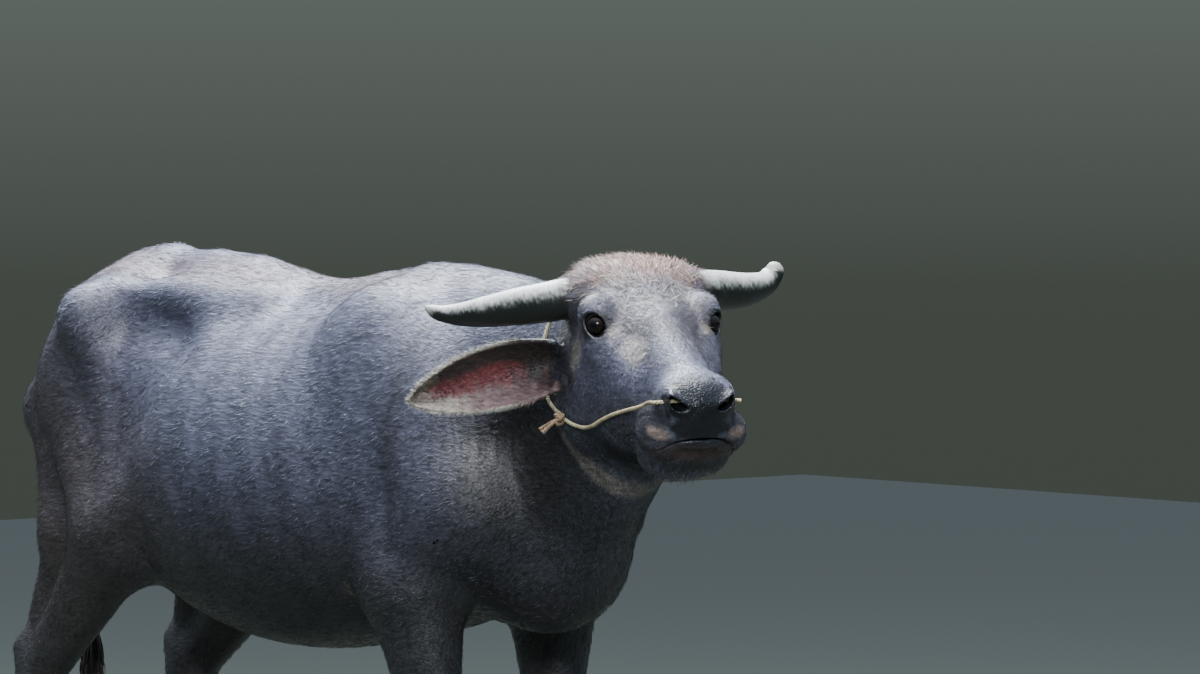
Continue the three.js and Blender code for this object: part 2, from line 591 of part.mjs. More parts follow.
const knotsOut = (body) => body.subtract(knot(1, GAP)).subtract(knot(-1, GAP));
add('nose_rope', knotsOut(roped(noseLine, ROPE_STEPS.nose, 0)), ropeFinish);
add('poll_rope', knotsOut(roped(pollLine, ROPE_STEPS.poll, 0)), ropeFinish);
add('knot_left', knot(1, 0), ropeFinish);
add('knot_right', knot(-1, 0), ropeFinish);

export default buffalo;
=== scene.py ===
# A young swamp buffalo cow, life size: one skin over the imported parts, with its short coat, horns, hooves and
# halter. Shapes are in the animal's own millimetres, X forward, Y left, Z up, with X = 0 above the elbows.
import math

import bpy
import numpy as np
from mathutils import Matrix, Vector


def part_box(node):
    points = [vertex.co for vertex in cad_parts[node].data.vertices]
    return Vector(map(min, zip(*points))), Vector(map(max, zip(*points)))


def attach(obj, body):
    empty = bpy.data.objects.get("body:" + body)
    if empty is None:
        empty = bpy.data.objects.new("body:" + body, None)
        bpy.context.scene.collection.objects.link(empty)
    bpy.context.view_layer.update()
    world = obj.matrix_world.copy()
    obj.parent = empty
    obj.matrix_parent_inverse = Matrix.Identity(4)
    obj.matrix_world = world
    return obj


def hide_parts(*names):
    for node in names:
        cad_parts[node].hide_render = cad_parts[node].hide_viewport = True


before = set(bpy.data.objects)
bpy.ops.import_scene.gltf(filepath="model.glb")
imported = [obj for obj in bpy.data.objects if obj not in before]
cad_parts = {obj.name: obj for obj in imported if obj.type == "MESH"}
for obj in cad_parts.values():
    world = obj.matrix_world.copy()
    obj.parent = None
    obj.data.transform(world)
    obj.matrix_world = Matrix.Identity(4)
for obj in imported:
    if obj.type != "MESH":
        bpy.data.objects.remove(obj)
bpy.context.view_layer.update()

MM = 0.001
SIDES = ((1, "left"), (-1, "right"))
RANDOM_SEED = 41

# Place of the head: between the eyes, turned to the right and nose down
HEAD_PLACE = (592.0, -112.0, 1075.0)
HEAD_YAW = math.radians(-22)
HEAD_PITCH = math.radians(25)
# How far each foot stands in front of its square place
FORE_STEP = {1: 18.0, -1: 54.0}
HIND_STEP = {1: 40.0, -1: 0.0}
HEAD_TURN = Matrix.LocRotScale(
    Vector(HEAD_PLACE),
    Matrix.Rotation(HEAD_YAW, 3, "Z") @ Matrix.Rotation(HEAD_PITCH, 3, "Y"),
    None)
HEAD_AXES = np.array(HEAD_TURN.to_3x3(), np.float32)
HEAD_ORIGIN = np.array(HEAD_PLACE, np.float32)

# Eyes, in the head's frame
EYE_PLACE = {s: np.array((2.0, 86.0 * s, 0.0)) for s, _ in SIDES}
EYE_RADIUS = 20.0


def head_point(p):
    """Point of the head's frame in the body's, in millimetres."""
    return HEAD_AXES.astype(float) @ np.array(p, float) + np.array(HEAD_PLACE)


def in_head(points):
    """Body points in the head's frame."""
    return (points - HEAD_ORIGIN) @ HEAD_AXES


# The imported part's own origin, found from where its eye is
eye_low, eye_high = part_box("eye_left")
FRAME_SHIFT = np.array((eye_low + eye_high) / 2) / MM - head_point(EYE_PLACE[1])


def to_frame(points):
    """Body millimetres to metres in the shared frame."""
    return (np.asarray(points, float) + FRAME_SHIFT) * MM


# Camera, fitted to the photo's outline: a long lens from the animal's right front, at its head's height
VIEW_TURN = math.radians(41)
VIEW_DISTANCE = 12000.0
VIEW_RISE = 550.0
VIEW_TARGET = (225.0, 1030.0)
VIEW_PIXELS = 7600.0
PHOTO_WIDTH = 1200.0
SENSOR = 36.0
view_out = np.array((math.cos(VIEW_TURN), -math.sin(VIEW_TURN), 0.0))
view_right = np.array((math.sin(VIEW_TURN), math.cos(VIEW_TURN), 0.0))
view_target = view_right * VIEW_TARGET[0] + np.array((0, 0, VIEW_TARGET[1]))
view_place = view_target + view_out * VIEW_DISTANCE + np.array((0, 0, VIEW_RISE))
camera_data = bpy.data.cameras.new("camera")
camera_data.lens = SENSOR * VIEW_PIXELS / PHOTO_WIDTH
camera_data.sensor_width = SENSOR
camera_data.clip_end = 100
camera = bpy.data.objects.new("camera", camera_data)
bpy.context.scene.collection.objects.link(camera)
camera.location = Vector(to_frame(view_place))
camera.rotation_euler = Vector(view_target - view_place).to_track_quat("-Z", "Y").to_euler()
bpy.context.scene.camera = camera


# Shapes of flesh: each gives a distance, and has a middle and a reach for leaving it out far away
class Bone:
    """A bone with round ends, which tapers, and is thinned across Y by flat."""

    def __init__(self, a, b, ra, rb=None, flat=1.0):
        self.a = np.array(a, np.float32)
        self.d = np.array(b, np.float32) - self.a
        self.ra = ra
        self.rb = ra if rb is None else rb
        self.flat = flat
        self.middle = self.a + self.d / 2
        self.reach = float(np.linalg.norm(self.d)) / 2 + max(self.ra, self.rb) * max(flat, 1)

    def distance(self, p):
        q = p - self.a
        t = np.clip(q @ self.d / float(self.d @ self.d), 0, 1)
        r = self.ra + (self.rb - self.ra) * t
        q = q - t[..., None] * self.d
        flatways = q[..., 0] ** 2 + q[..., 2] ** 2
        across = q[..., 1] ** 2
        real = np.sqrt(flatways + across)
        thin = np.sqrt(flatways + across / self.flat ** 2) + 1e-6
        return real * (1 - r / thin)


class Mass:
    """An ellipsoid turned about Y by tilt degrees, nose down."""

    def __init__(self, middle, radii, tilt=0.0):
        self.middle = np.array(middle, np.float32)
        self.radii = radii
        self.turn = (math.cos(math.radians(tilt)), math.sin(math.radians(tilt)))
        self.reach = max(radii)

    def distance(self, p):
        q = p - self.middle
        co, si = self.turn
        a, b, c = self.radii
        x = (q[..., 0] * co - q[..., 2] * si) / a
        y = q[..., 1] / b
        z = (q[..., 0] * si + q[..., 2] * co) / c
        k = np.sqrt(x * x + y * y + z * z)
        g = np.sqrt((x / a) ** 2 + (y / b) ** 2 + (z / c) ** 2) + 1e-9
        return k * (k - 1) / g


class Chain:
    """A row of bones, each with the end of the last."""

    def __init__(self, points, radii):
        self.bones = [Bone(a, b, ra, rb) for a, b, ra, rb in zip(points, points[1:], radii, radii[1:])]
        ends = np.array(points, np.float32)
        self.middle = (ends.min(0) + ends.max(0)) / 2
        self.reach = float(np.linalg.norm(ends - self.middle, axis=1).max()) + max(radii)

    def distance(self, p):
        d = self.bones[0].distance(p)
        for link in self.bones[1:]:
            d = join(d, link.distance(p), LINK_CREASE)
        return d


# The outline of an ear: where on its curve the root is, its skew, how full it is, and its least half width
LEAF_START = 0.14
LEAF_SKEW = 0.9
LEAF_FULL = 0.62
LEAF_LEAST = 2.0


class Leaf:
    """An ear: a leaf that cups forward, from its root to its tip."""

    def __init__(self, root, tip, facing, width, thick, cups, rise):
        self.root = root
        out = tip - root
        self.length = float(np.linalg.norm(out))
        self.out = out / self.length
        up = np.cross(self.out, facing)
        up /= np.linalg.norm(up)
        self.up = up * np.sign(up[2])
        front = np.cross(self.up, self.out)
        front /= np.linalg.norm(front)
        self.front = front * np.sign(front @ facing)
        self.width = width
        self.thick = thick
        self.cups = cups
        self.rise = rise
        self.middle = (root + tip) / 2
        self.reach = self.length / 2 + width / 2

    def place(self, p):
        """Shares of the length, and the offsets across and in front of the leaf's own line."""
        q = p - self.root
        along = q @ self.out / self.length
        u = np.clip(along, 0.0, 1.0)
        x = q @ self.up - self.rise * np.sin(np.pi * u)
        return along, u, x, q @ self.front

    def half_at(self, u):
        swell = np.minimum(LEAF_START + u * (1 - LEAF_START), 0.9999) ** LEAF_SKEW
        return self.width / 2 * np.sin(np.pi * swell) ** LEAF_FULL

    def cup_at(self, u):
        return self.cups[0] + (self.cups[1] - self.cups[0]) * np.sqrt(u)

    def distance(self, p):
        along, u, x, y = self.place(p)
        half = np.maximum(self.half_at(u), LEAF_LEAST)
        cup = self.cup_at(u)
        a = np.clip(x / half, -1, 1)
        for _ in range(3):
            slope = 2 * (half * (half * a - x) + 2 * cup * a * (cup * a * a - y))
            bend = 2 * (half * half + 6 * cup * cup * a * a - 2 * cup * y)
            a = np.clip(a - slope / np.maximum(bend, half * half), -1, 1)
        beside = np.hypot(x - half * a, y - cup * a * a)
        past = (along - u) * self.length
        thick = self.thick[0] + (self.thick[1] - self.thick[0]) * u
        return np.hypot(beside, past) - thick / 2


def join(a, b, k):
    h = np.maximum(k - np.abs(a - b), 0) / k
    return np.minimum(a, b) - h * h * (k / 4)


def carve(a, b, k):
    return -join(-a, b, k)


def mirror(p, s):
    return (p[0], p[1] * s, p[2])


def moved(p, dx):
    return (p[0] + dx, p[1], p[2])


# The back's line: X, height and radius, from the neck to the tail head
TOP_LINE = ((152, 1117, 48), (-46, 1142, 47), (-160, 1124, 44), (-275, 1109, 42), (-400, 1120, 41),
            (-500, 1139, 40), (-610, 1150, 40), (-714, 1158, 40), (-785, 1146, 40), (-850, 1108, 38),
            (-915, 1040, 32))
TOP_SWELL = 4
LINK_CREASE = 10
HOOK = (-722, 187, 1050)
PIN = (-934, 99, 880)
LOIN_EDGE = ((-690, 134, 1074), (-380, 84, 1074))


def trunk_flesh():
    # Belly, chest, loin, brisket and the middle of the rump
    flesh = [
        (Mass((-330, 0, 800), (455, 280, 282)), 1),
        (Mass((-20, 0, 850), (330, 195, 268)), 90),
        (Mass((-560, 0, 900), (240, 205, 225)), 90),
        (Mass((210, 0, 705), (135, 112, 128), 30), 70),
        (Mass((-778, 0, 860), (138, 118, 190), -8), 60),
    ]
    spine = [(x, 0, z - r - TOP_SWELL) for x, z, r in TOP_LINE]
    flesh.append((Chain(spine, [r for _, _, r in TOP_LINE]), 60))
    # Neck, deep and flat, with the windpipe and the loose skin under it
    flesh.append((Bone((60, 0, 930), (300, -18, 965), 185, 150, 0.62), 70))
    flesh.append((Bone((300, -18, 965), (440, -66, 1002), 150, 118, 0.66), 60))
    flesh.append((Bone((248, 0, 732), (442, -40, 880), 106, 84, 0.88), 70))
    for s, _ in SIDES:
        # Hip bone out to its hook and back to the pin, rump, buttock, flank fold, shoulder blade, loin's edge
        flesh.append((Bone((-745, 0, 1078), mirror(HOOK, s), 44, 31), 60))
        flesh.append((Bone(mirror(HOOK, s), mirror(PIN, s), 29, 40), 60))
        flesh.append((Mass(mirror((-800, 60, 1045), s), (95, 90, 66), -26), 60))
        flesh.append((Mass(mirror((-775, 98, 955), s), (110, 90, 105), -30), 50))
        flesh.append((Bone(mirror((-700, 176, 1010), s), mirror((-600, 200, 740), s), 26, 44), 70))
        flesh.append((Mass(mirror((-30, 112, 955), s), (95, 60, 140), -22), 90))
        flesh.append((Bone(mirror(LOIN_EDGE[0], s), mirror(LOIN_EDGE[1], s), 24, 12), 70))
    return flesh


# A foreleg: shoulder blade, arm, triceps, forearm, its rear edge, knee, cannon, sinew, fetlock, pastern, heel
def foreleg(s, step):
    def at(p, share=1.0):
        return moved(mirror(p, s), step * share)
    return [
        (Bone(mirror((-20, 112, 1010), s), at((160, 136, 790), 0.3), 62, 74, 0.8), 95),
        (Bone(at((160, 142, 770), 0.3), at((40, 152, 660), 0.5), 74, 72, 0.85), 60),
        (Bone(mirror((-20, 128, 880), s), at((-2, 158, 660), 0.5), 82, 52, 0.7), 60),
        (Bone(at((44, 150, 630), 0.7), at((62, 138, 400)), 80, 37, 0.85), 40),
        (Bone(at((-12, 150, 640), 0.5), at((48, 138, 430)), 34, 26, 0.8), 40),
        (Mass(at((66, 136, 352)), (41, 39, 50)), 30),
        (Bone(at((62, 136, 330)), at((62, 135, 160)), 29, 26), 30),
        (Bone(at((46, 135, 320)), at((46, 135, 150)), 20, 20), 20),
        (Mass(at((58, 135, 128)), (37, 38, 34)), 22),
        (Bone(at((62, 135, 115)), at((76, 135, 60)), 31, 34), 22),
        (Mass(at((54, 135, 52)), (26, 42, 30)), 20),
    ]


# A hind leg: thigh, hamstring, gaskin, the sinew to the hock, hock, cannon, sinew, fetlock, pastern, heel
def hindleg(s, step):
    def at(p, share=1.0):
        return moved(mirror(p, s), step * share)
    return [
        (Bone(mirror((-775, 122, 885), s), at((-650, 176, 700), 0.3), 100, 82, 0.8), 60),
        (Bone(mirror((-900, 94, 880), s), at((-835, 128, 690), 0.3), 54, 62, 0.9), 60),
        (Bone(at((-650, 176, 690), 0.3), at((-868, 148, 480)), 78, 44, 0.75), 50),
        (Bone(at((-830, 130, 690), 0.4), at((-936, 142, 490)), 52, 18, 0.7), 40),
        (Bone(at((-940, 142, 480)), at((-905, 142, 392)), 28, 34, 0.85), 30),
        (Mass(at((-905, 142, 430)), (40, 36, 58), -10), 30),
        (Bone(at((-902, 142, 390)), at((-872, 138, 165)), 30, 26), 30),
        (Bone(at((-916, 142, 390)), at((-892, 138, 160)), 20, 19), 20),
        (Mass(at((-874, 138, 130)), (37, 37, 34)), 22),
        (Bone(at((-868, 138, 115)), at((-856, 138, 60)), 30, 32), 22),
        (Mass(at((-878, 138, 52)), (26, 39, 30)), 20),
    ]


# The tail's line and its radii, joined to the rump
TAIL_LINE = ((-850, 0, 1060), (-898, 0, 1030), (-930, 0, 960), (-940, -2, 860), (-942, -6, 720),
             (-940, -10, 590), (-940, -12, 500), (-939, -12, 455))
TAIL_RADII = (25, 22, 19, 16, 13.5, 11, 9, 6)


def tail_flesh():
    ends = list(zip(TAIL_LINE, TAIL_RADII))
    return [(Bone(a, b, ra, rb), 12) for (a, ra), (b, rb) in zip(ends, ends[1:])]


# Hollows of the body: in front of each hip, and the flank that sinks in behind the last rib
BODY_HOLLOWS = [(Mass(mirror((-552, 244, 1034), s), (112, 96, 46), 10), 60) for s, _ in SIDES]
BODY_HOLLOWS += [(Mass(mirror((-600, 312, 930), s), (100, 100, 180), 28), 80) for s, _ in SIDES]


# Where the skin ends round each horn
HORN_COLLAR = {1: (-102, 98, 1), -1: (-99, -91, -5)}


def head_flesh():
    # Brain case, forehead, poll, upper jaw, nose bridge, nose, its pad, lips, chin, lower lip, mouth, jaw
    flesh = [
        (Mass((-78, 0, -20), (96, 84, 62)), 1),
        (Mass((-45, 0, 0), (94, 84, 42), 6), 30),
        (Bone((-110, -60, 4), (-110, 64, 4), 37), 34),
        (Bone((10, 0, -40), (206, 0, -36), 64, 46, 1.04), 40),
        (Bone((40, 0, 0), (205, 0, -10), 33, 27), 34),
        (Mass((222, 0, -22), (46, 54, 42), 20), 26),
        (Bone((221, -32, -9), (221, 28, -9), 28), 20),
        (Mass((216, 4, -58), (49, 74, 30), 4), 24),
        (Bone((190, -30, -120), (194, 42, -112), 33, 35), 30),
        (Bone((206, -32, -86), (208, 42, -82), 26), 22),
        (Bone((190, 0, -112), (50, 0, -150), 38, 46), 34),
        (Mass((92, 0, -90), (110, 60, 62), 8), 40),
    ]
    for s, _ in SIDES:
        # Brow, lower jaw, cheek muscle, cheek bone, cheek, hanging side of the lip and skin round the horn
        flesh.append((Mass((-17, 84 * s, 8), (33, 27, 30)), 22))
        flesh.append((Bone((50, 0, -150), (-48, 48 * s, -188), 42, 44), 40))
        flesh.append((Mass((-34, 62 * s, -106), (86, 40, 98), 14), 40))
        flesh.append((Bone((24, 78 * s, -28), (104, 52 * s, -46), 24, 18), 26))
        flesh.append((Mass((38, 42 * s, -84), (104, 50, 76), 12), 40))
        flesh.append((Mass((202, 8 + 51 * s, -74), (44, 32, 27)), 20))
        flesh.append((Bone((-98, 70 * s, 0), HORN_COLLAR[s], 37, 33), 18))
    return flesh


BODY_FLESH = trunk_flesh()
for s, _ in SIDES:
    BODY_FLESH += foreleg(s, FORE_STEP[s]) + hindleg(s, HIND_STEP[s])
BODY_FLESH += tail_flesh()
HEAD_FLESH = head_flesh()
HEAD_JOIN = 50.0
HEAD_REACH = 520.0

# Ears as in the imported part, thinner by the hair on both faces
EAR_WIDTH = 95.0
EAR_THICK = (8.5, 4.2)
EAR_CUPS = (46.0, 12.0)
EAR_RISE = 3.0
EAR_LINES = {
    -1: ((-106, -90, -120), (-180, -301, -223), (0.8, -0.2, 0.45)),
    1: ((-106, 88, -98), (-263, 196, -129), (0.55, 0.8, 0.2)),
}
EARS = {}
for s, _ in SIDES:
    ear_root, ear_tip, ear_facing = EAR_LINES[s]
    EARS[s] = Leaf(head_point(ear_root), head_point(ear_tip), HEAD_AXES.astype(float) @ np.array(ear_facing),
                   EAR_WIDTH, EAR_THICK, EAR_CUPS, EAR_RISE)

# Eyelids: a thin shell over the ball, open along the gaze in an almond shape, and a fold of skin above it
LID_THICK = 2.6
LID_OPEN = (19.6, 16.8)
LOWER_LID_SHARE = 0.82
LID_TURN = math.radians(-14)
LID_BLEND = 13
LID_EDGE_BLEND = 2.2
LID_GAP = 1.2
LID_FOLD_OUT = 2.5
LID_FOLD_HEIGHT = 15.5
LID_FOLD_BOW = 0.012
LID_FOLD_RADIUS = 2.0
LID_FOLD_REACH = 15
LID_FOLD_BLEND = 5
EYE_GAZE = {s: np.array((0.72, 0.65 * s, 0.24)) / np.linalg.norm((0.72, 0.65, 0.24)) for s, _ in SIDES}


def eye_frame(s):
    """Along the eye's slit, across it, and out of the eye, in the head's frame."""
    gaze = EYE_GAZE[s]
    along = np.array((1.0, 0, 0)) - gaze * gaze[0]
    along /= np.linalg.norm(along)
    across = np.cross(gaze, along)
    across *= np.sign(across[2])
    co, si = math.cos(LID_TURN), math.sin(LID_TURN)
    return along * co + across * si, across * co - along * si, gaze


def eyelids(d, q):
    """Lids, fold and slit of both eyes, on the head's distance d at the head points q."""
    for s, _ in SIDES:
        along, across, gaze = (axis.astype(np.float32) for axis in eye_frame(s))
        e = q - EYE_PLACE[s].astype(np.float32)
        a = e @ along
        c = e @ across
        g = e @ gaze
        r = np.sqrt(a * a + c * c + g * g)
        # The lids' shell sinks softly into the face
        d = join(d, r - EYE_RADIUS - LID_THICK, LID_BLEND)
        fold = np.hypot(r - EYE_RADIUS - LID_FOLD_OUT, c - LID_FOLD_HEIGHT + LID_FOLD_BOW * a * a)
        fold = fold - LID_FOLD_RADIUS + np.maximum(0, np.abs(a) - LID_FOLD_REACH) * 0.4
        d = join(d, fold, LID_FOLD_BLEND)
        # The slit is pointed at both ends, and its lower lid is flatter
        half = np.where(c > 0, LID_OPEN[1], LID_OPEN[1] * LOWER_LID_SHARE)
        slit = (np.sqrt((a / LID_OPEN[0]) ** 2 + (c / half) ** 2) - 1) * 10 + np.maximum(0, -g) * 0.8
        d = carve(d, slit, LID_EDGE_BLEND)
        d = np.maximum(d, EYE_RADIUS - LID_GAP - r)
    return d


# Nostrils: a comma that opens forward and out, with a rim. Radii are along the comma, across it and forward
NOSTRIL = {s: np.array((250.0, -3 + 37.0 * s, -3.0), np.float32) for s, _ in SIDES}
NOSTRIL_TURN = (0.86, 0.5)
NOSTRIL_BOW = 0.018
NOSTRIL_HOLE = (15, 7.2, 24)
NOSTRIL_RIM = (20, 12, 17)
# The mouth: its middle, its fall to the corners, half its gap, where its corners start, and how deep it is
MOUTH_MIDDLE = (6, -57)
MOUTH_FALL = (0.0045, 1.3e-6)
MOUTH_HALF_GAP = 1.6
MOUTH_CORNER = 96
MOUTH_DEPTH = 11
MOUTH_BLEND = 5
CLOSED = 1e3


def egg(u, v, w, radii, scale):
    return (np.sqrt((u / radii[0]) ** 2 + (v / radii[1]) ** 2 + (w / radii[2]) ** 2) - 1) * scale


def muzzle_cuts(d, q):
    """Nostrils and mouth, cut into the head's distance d at the head points q."""
    for s, _ in SIDES:
        e = q - NOSTRIL[s]
        # Turned about X, so that the comma's tail rises outwards
        y = e[..., 1] * s
        z = e[..., 2]
        u = y * NOSTRIL_TURN[0] + z * NOSTRIL_TURN[1]
        v = z * NOSTRIL_TURN[0] - y * NOSTRIL_TURN[1]
        bow = v - NOSTRIL_BOW * u * u + 2
        d = join(d, egg(u, bow, e[..., 0] + 2, NOSTRIL_RIM, 9), 9)
        d = carve(d, egg(u, bow, e[..., 0], NOSTRIL_HOLE, 7), 4)
    # The mouth's line falls from the middle to the corners, under the hanging sides of the lip
    y = q[..., 1] - MOUTH_MIDDLE[0]
    x = q[..., 0]
    line = MOUTH_MIDDLE[1] - MOUTH_FALL[0] * y * y - MOUTH_FALL[1] * y ** 4 - np.maximum(0, 200 - x) * 0.05
    depth = np.clip((x - MOUTH_CORNER) / 40, 0, 1)
    mouth = np.abs(q[..., 2] - line) - MOUTH_HALF_GAP + (1 - depth) * 30
    cut = np.maximum(mouth, -(d + MOUTH_DEPTH * depth))
    near = np.hypot((x - 150) / 1.05, y) - 62 < 90
    return carve(d, np.where(near, cut, CLOSED), MOUTH_BLEND)


# Level of detail
CELL_AT_HEAD = 2.6
LENS_POINT = np.array((2700.0, -100.0, 800.0))
HEAD_DISTANCE = 2080.0
BLOCK = 8
BAND = 90.0


def gather(flesh, blocks, middles, radius, start):
    """Distances at the points of every block: each shape is only measured in the blocks that it can reach."""
    d = start
    for shape, k in flesh:
        near = np.linalg.norm(middles - shape.middle, axis=1) < shape.reach + radius + k + BAND
        rows = np.nonzero(near)[0]
        if len(rows):
            d[rows] = join(d[rows], shape.distance(blocks[rows]), k)
    return d

FAR = 400.0
EAR_BLEND = 14
# Lids and the muzzle's cuts are only worked out in blocks past these places on the head
FACE_FROM = -70
FACE_SIDE = 30
NOSE_FROM = 60


def skin_distance(blocks):
    """Distance of the bare skin at blocks of points, (count, many, 3), each block's points close together."""
    low = blocks.min(1)
    high = blocks.max(1)
    middles = (low + high) / 2
    radius = np.linalg.norm(high - low, axis=1) / 2
    far = np.full(blocks.shape[:2], FAR, np.float32)
    d = gather(BODY_FLESH, blocks, middles, radius, far.copy())
    for hollow, k in BODY_HOLLOWS:
        rows = np.nonzero(np.linalg.norm(middles - hollow.middle, axis=1) < hollow.reach + radius + k)[0]
        if len(rows):
            d[rows] = carve(d[rows], hollow.distance(blocks[rows]), k)
    rows = np.nonzero(np.linalg.norm(middles - HEAD_ORIGIN, axis=1) < HEAD_REACH + radius)[0]
    if len(rows):
        q = in_head(blocks[rows])
        q_middles = in_head(middles[rows])
        skull = gather(HEAD_FLESH, q, q_middles, radius[rows], far[rows].copy())
        face = np.nonzero((q_middles[:, 0] > FACE_FROM) & (np.abs(q_middles[:, 1]) > FACE_SIDE))[0]
        skull[face] = eyelids(skull[face], q[face])
        nose = np.nonzero(q_middles[:, 0] > NOSE_FROM)[0]
        skull[nose] = muzzle_cuts(skull[nose], q[nose])
        whole = join(d[rows], skull, HEAD_JOIN)
        for s, _ in SIDES:
            whole = join(whole, EARS[s].distance(blocks[rows]), EAR_BLEND)
        d[rows] = whole
    return d


SLOPE_BLOCK = 64
SLOPE_STEP = 0.6


def skin_slopes(points):
    """Distance and slope at a list of points that lie in order, by small steps along each axis."""
    count = len(points)
    fill = np.repeat(points[-1:], -count % SLOPE_BLOCK, 0)
    padded = np.concatenate([points, fill]).reshape(-1, SLOPE_BLOCK, 3).astype(np.float32)
    d = skin_distance(padded)
    slope = np.empty_like(padded)
    for axis in range(3):
        shifted = padded.copy()
        shifted[..., axis] += SLOPE_STEP
        slope[..., axis] = (skin_distance(shifted) - d) / SLOPE_STEP
    return d.reshape(-1)[:count], slope.reshape(-1, 3)[:count]


LENS_SCALE = HEAD_DISTANCE ** 2 / CELL_AT_HEAD
GRID_BOX = ((-1010, 860), (-340, 330), (-5, 1215))


def through_lens(q):
    """Grid points to the animal and back: an inversion, so cells stay cubes and shrink towards the head."""
    e = q - LENS_POINT
    return LENS_POINT + e * (LENS_SCALE / (e * e).sum(-1, keepdims=True))


def grid_range():
    """First and last block of the grid on each axis, from lines between the corners of the animal's box."""
    corners = np.array([(x, y, z) for x in GRID_BOX[0] for y in GRID_BOX[1] for z in GRID_BOX[2]], float)
    shares = np.linspace(0, 1, 9)
    q = through_lens(np.array([a + (b - a) * t for a in corners for b in corners for t in shares]))
    return np.floor(q.min(0) / BLOCK).astype(int) - 1, np.ceil(q.max(0) / BLOCK).astype(int) + 1


MIDDLES_AT_ONCE = 4096
BLOCKS_AT_ONCE = 512
CORNERS = np.array([(i, j, k) for i in (0, 1) for j in (0, 1) for k in (0, 1)])
EDGES = [(a, b) for a in range(8) for b in range(a + 1, 8) if np.abs(CORNERS[a] - CORNERS[b]).sum() == 1]
KEY_SPAN = 1 << 14
KEY_STEPS = np.array((KEY_SPAN * KEY_SPAN, KEY_SPAN, 1))
KEY_SHIFT = 4096


def crossed_blocks():
    """Blocks of the grid that the skin may cross, by its distance at their middles."""
    low, high = grid_range()
    axes = [np.arange(low[a], high[a]) for a in range(3)]
    index = np.stack(np.meshgrid(*axes, indexing="ij"), -1).reshape(-1, 3)
    middles = through_lens((index + 0.5) * BLOCK)
    radius = np.linalg.norm(through_lens((index + 1.0) * BLOCK) - middles, axis=1)
    inside = (middles[:, 2] > -40) & (middles[:, 2] < 1260) & (np.abs(middles[:, 1]) < 360)
    places = middles[inside][:, None].astype(np.float32)
    firsts = range(0, len(places), MIDDLES_AT_ONCE)
    gaps = [skin_distance(places[a:a + MIDDLES_AT_ONCE])[:, 0] for a in firsts]
    return index[inside][np.abs(np.concatenate(gaps)) < radius[inside] * 1.25 + 6]


def crossed_cells(index):
    """A point in each cell that the skin crosses, the cells' keys, and how it crosses their first edges."""
    steps = np.stack(np.meshgrid(*[np.arange(BLOCK + 1)] * 3, indexing="ij"), -1).reshape(-1, 3)
    spots = []
    keys = []
    links = [[], [], []]
    for first in range(0, len(index), BLOCKS_AT_ONCE):
        cells = index[first:first + BLOCKS_AT_ONCE] * BLOCK
        d = skin_distance(through_lens((cells[:, None] + steps).astype(float)).astype(np.float32))
        d = d.reshape(-1, BLOCK + 1, BLOCK + 1, BLOCK + 1)
        values = np.stack([d[:, i:i + BLOCK, j:j + BLOCK, k:k + BLOCK] for i, j, k in CORNERS], -1)
        solid = values < 0
        active = solid.any(-1) & ~solid.all(-1)
        block, i, j, k = np.nonzero(active)
        v = values[active]
        place = np.zeros((len(v), 3))
        count = np.zeros(len(v))
        for p, q in EDGES:
            crosses = (v[:, p] < 0) != (v[:, q] < 0)
            share = np.where(crosses, v[:, p] / np.where(crosses, v[:, p] - v[:, q], 1), 0)
            place += (CORNERS[p] + share[:, None] * (CORNERS[q] - CORNERS[p])) * crosses[:, None]
            count += crosses
        cell = cells[block] + np.stack([i, j, k], -1)
        spots.append(cell + place / count[:, None])
        keys.append((cell + KEY_SHIFT) @ KEY_STEPS)
        for axis, corner in enumerate((4, 2, 1)):
            crosses = (v[:, 0] < 0) != (v[:, corner] < 0)
            links[axis].append(np.where(crosses, np.where(v[:, 0] < 0, 1, -1), 0))
    return np.concatenate(spots), np.concatenate(keys), [np.concatenate(way) for way in links]


def net_faces(keys, links):
    """A quad round each grid edge that the skin crosses, through the points of the four cells round it."""
    order = np.argsort(keys, kind="stable")
    sorted_keys = keys[order]
    quads = []
    for link, (one, two) in zip(links, ((1, 2), (2, 0), (0, 1))):
        rows = np.nonzero(link)[0]
        good = np.ones(len(rows), bool)
        found = []
        for offset in (0, KEY_STEPS[one], KEY_STEPS[one] + KEY_STEPS[two], KEY_STEPS[two]):
            wanted = keys[rows] - offset
            at = np.minimum(np.searchsorted(sorted_keys, wanted), len(keys) - 1)
            good &= sorted_keys[at] == wanted
            found.append(order[at])
        quad = np.stack(found, -1)
        # The inversion mirrors the grid, so the winding is the mirrored one
        forward = link[rows] < 0
        quad[~forward] = quad[~forward][:, ::-1]
        quads.append(quad[good])
    return np.concatenate(quads)


def skin_surface():
    """Points, quads and normals of the bare skin: a net through the grid's cells, drawn on to the surface."""
    spots, keys, links = crossed_cells(crossed_blocks())
    points = through_lens(spots)
    for _ in range(2):
        d, slope = skin_slopes(points)
        steep = np.maximum((slope ** 2).sum(1), 0.3)
        points = points - slope * np.clip(d / steep, -3, 3)[:, None]
    return points, net_faces(keys, links), unit(slope)


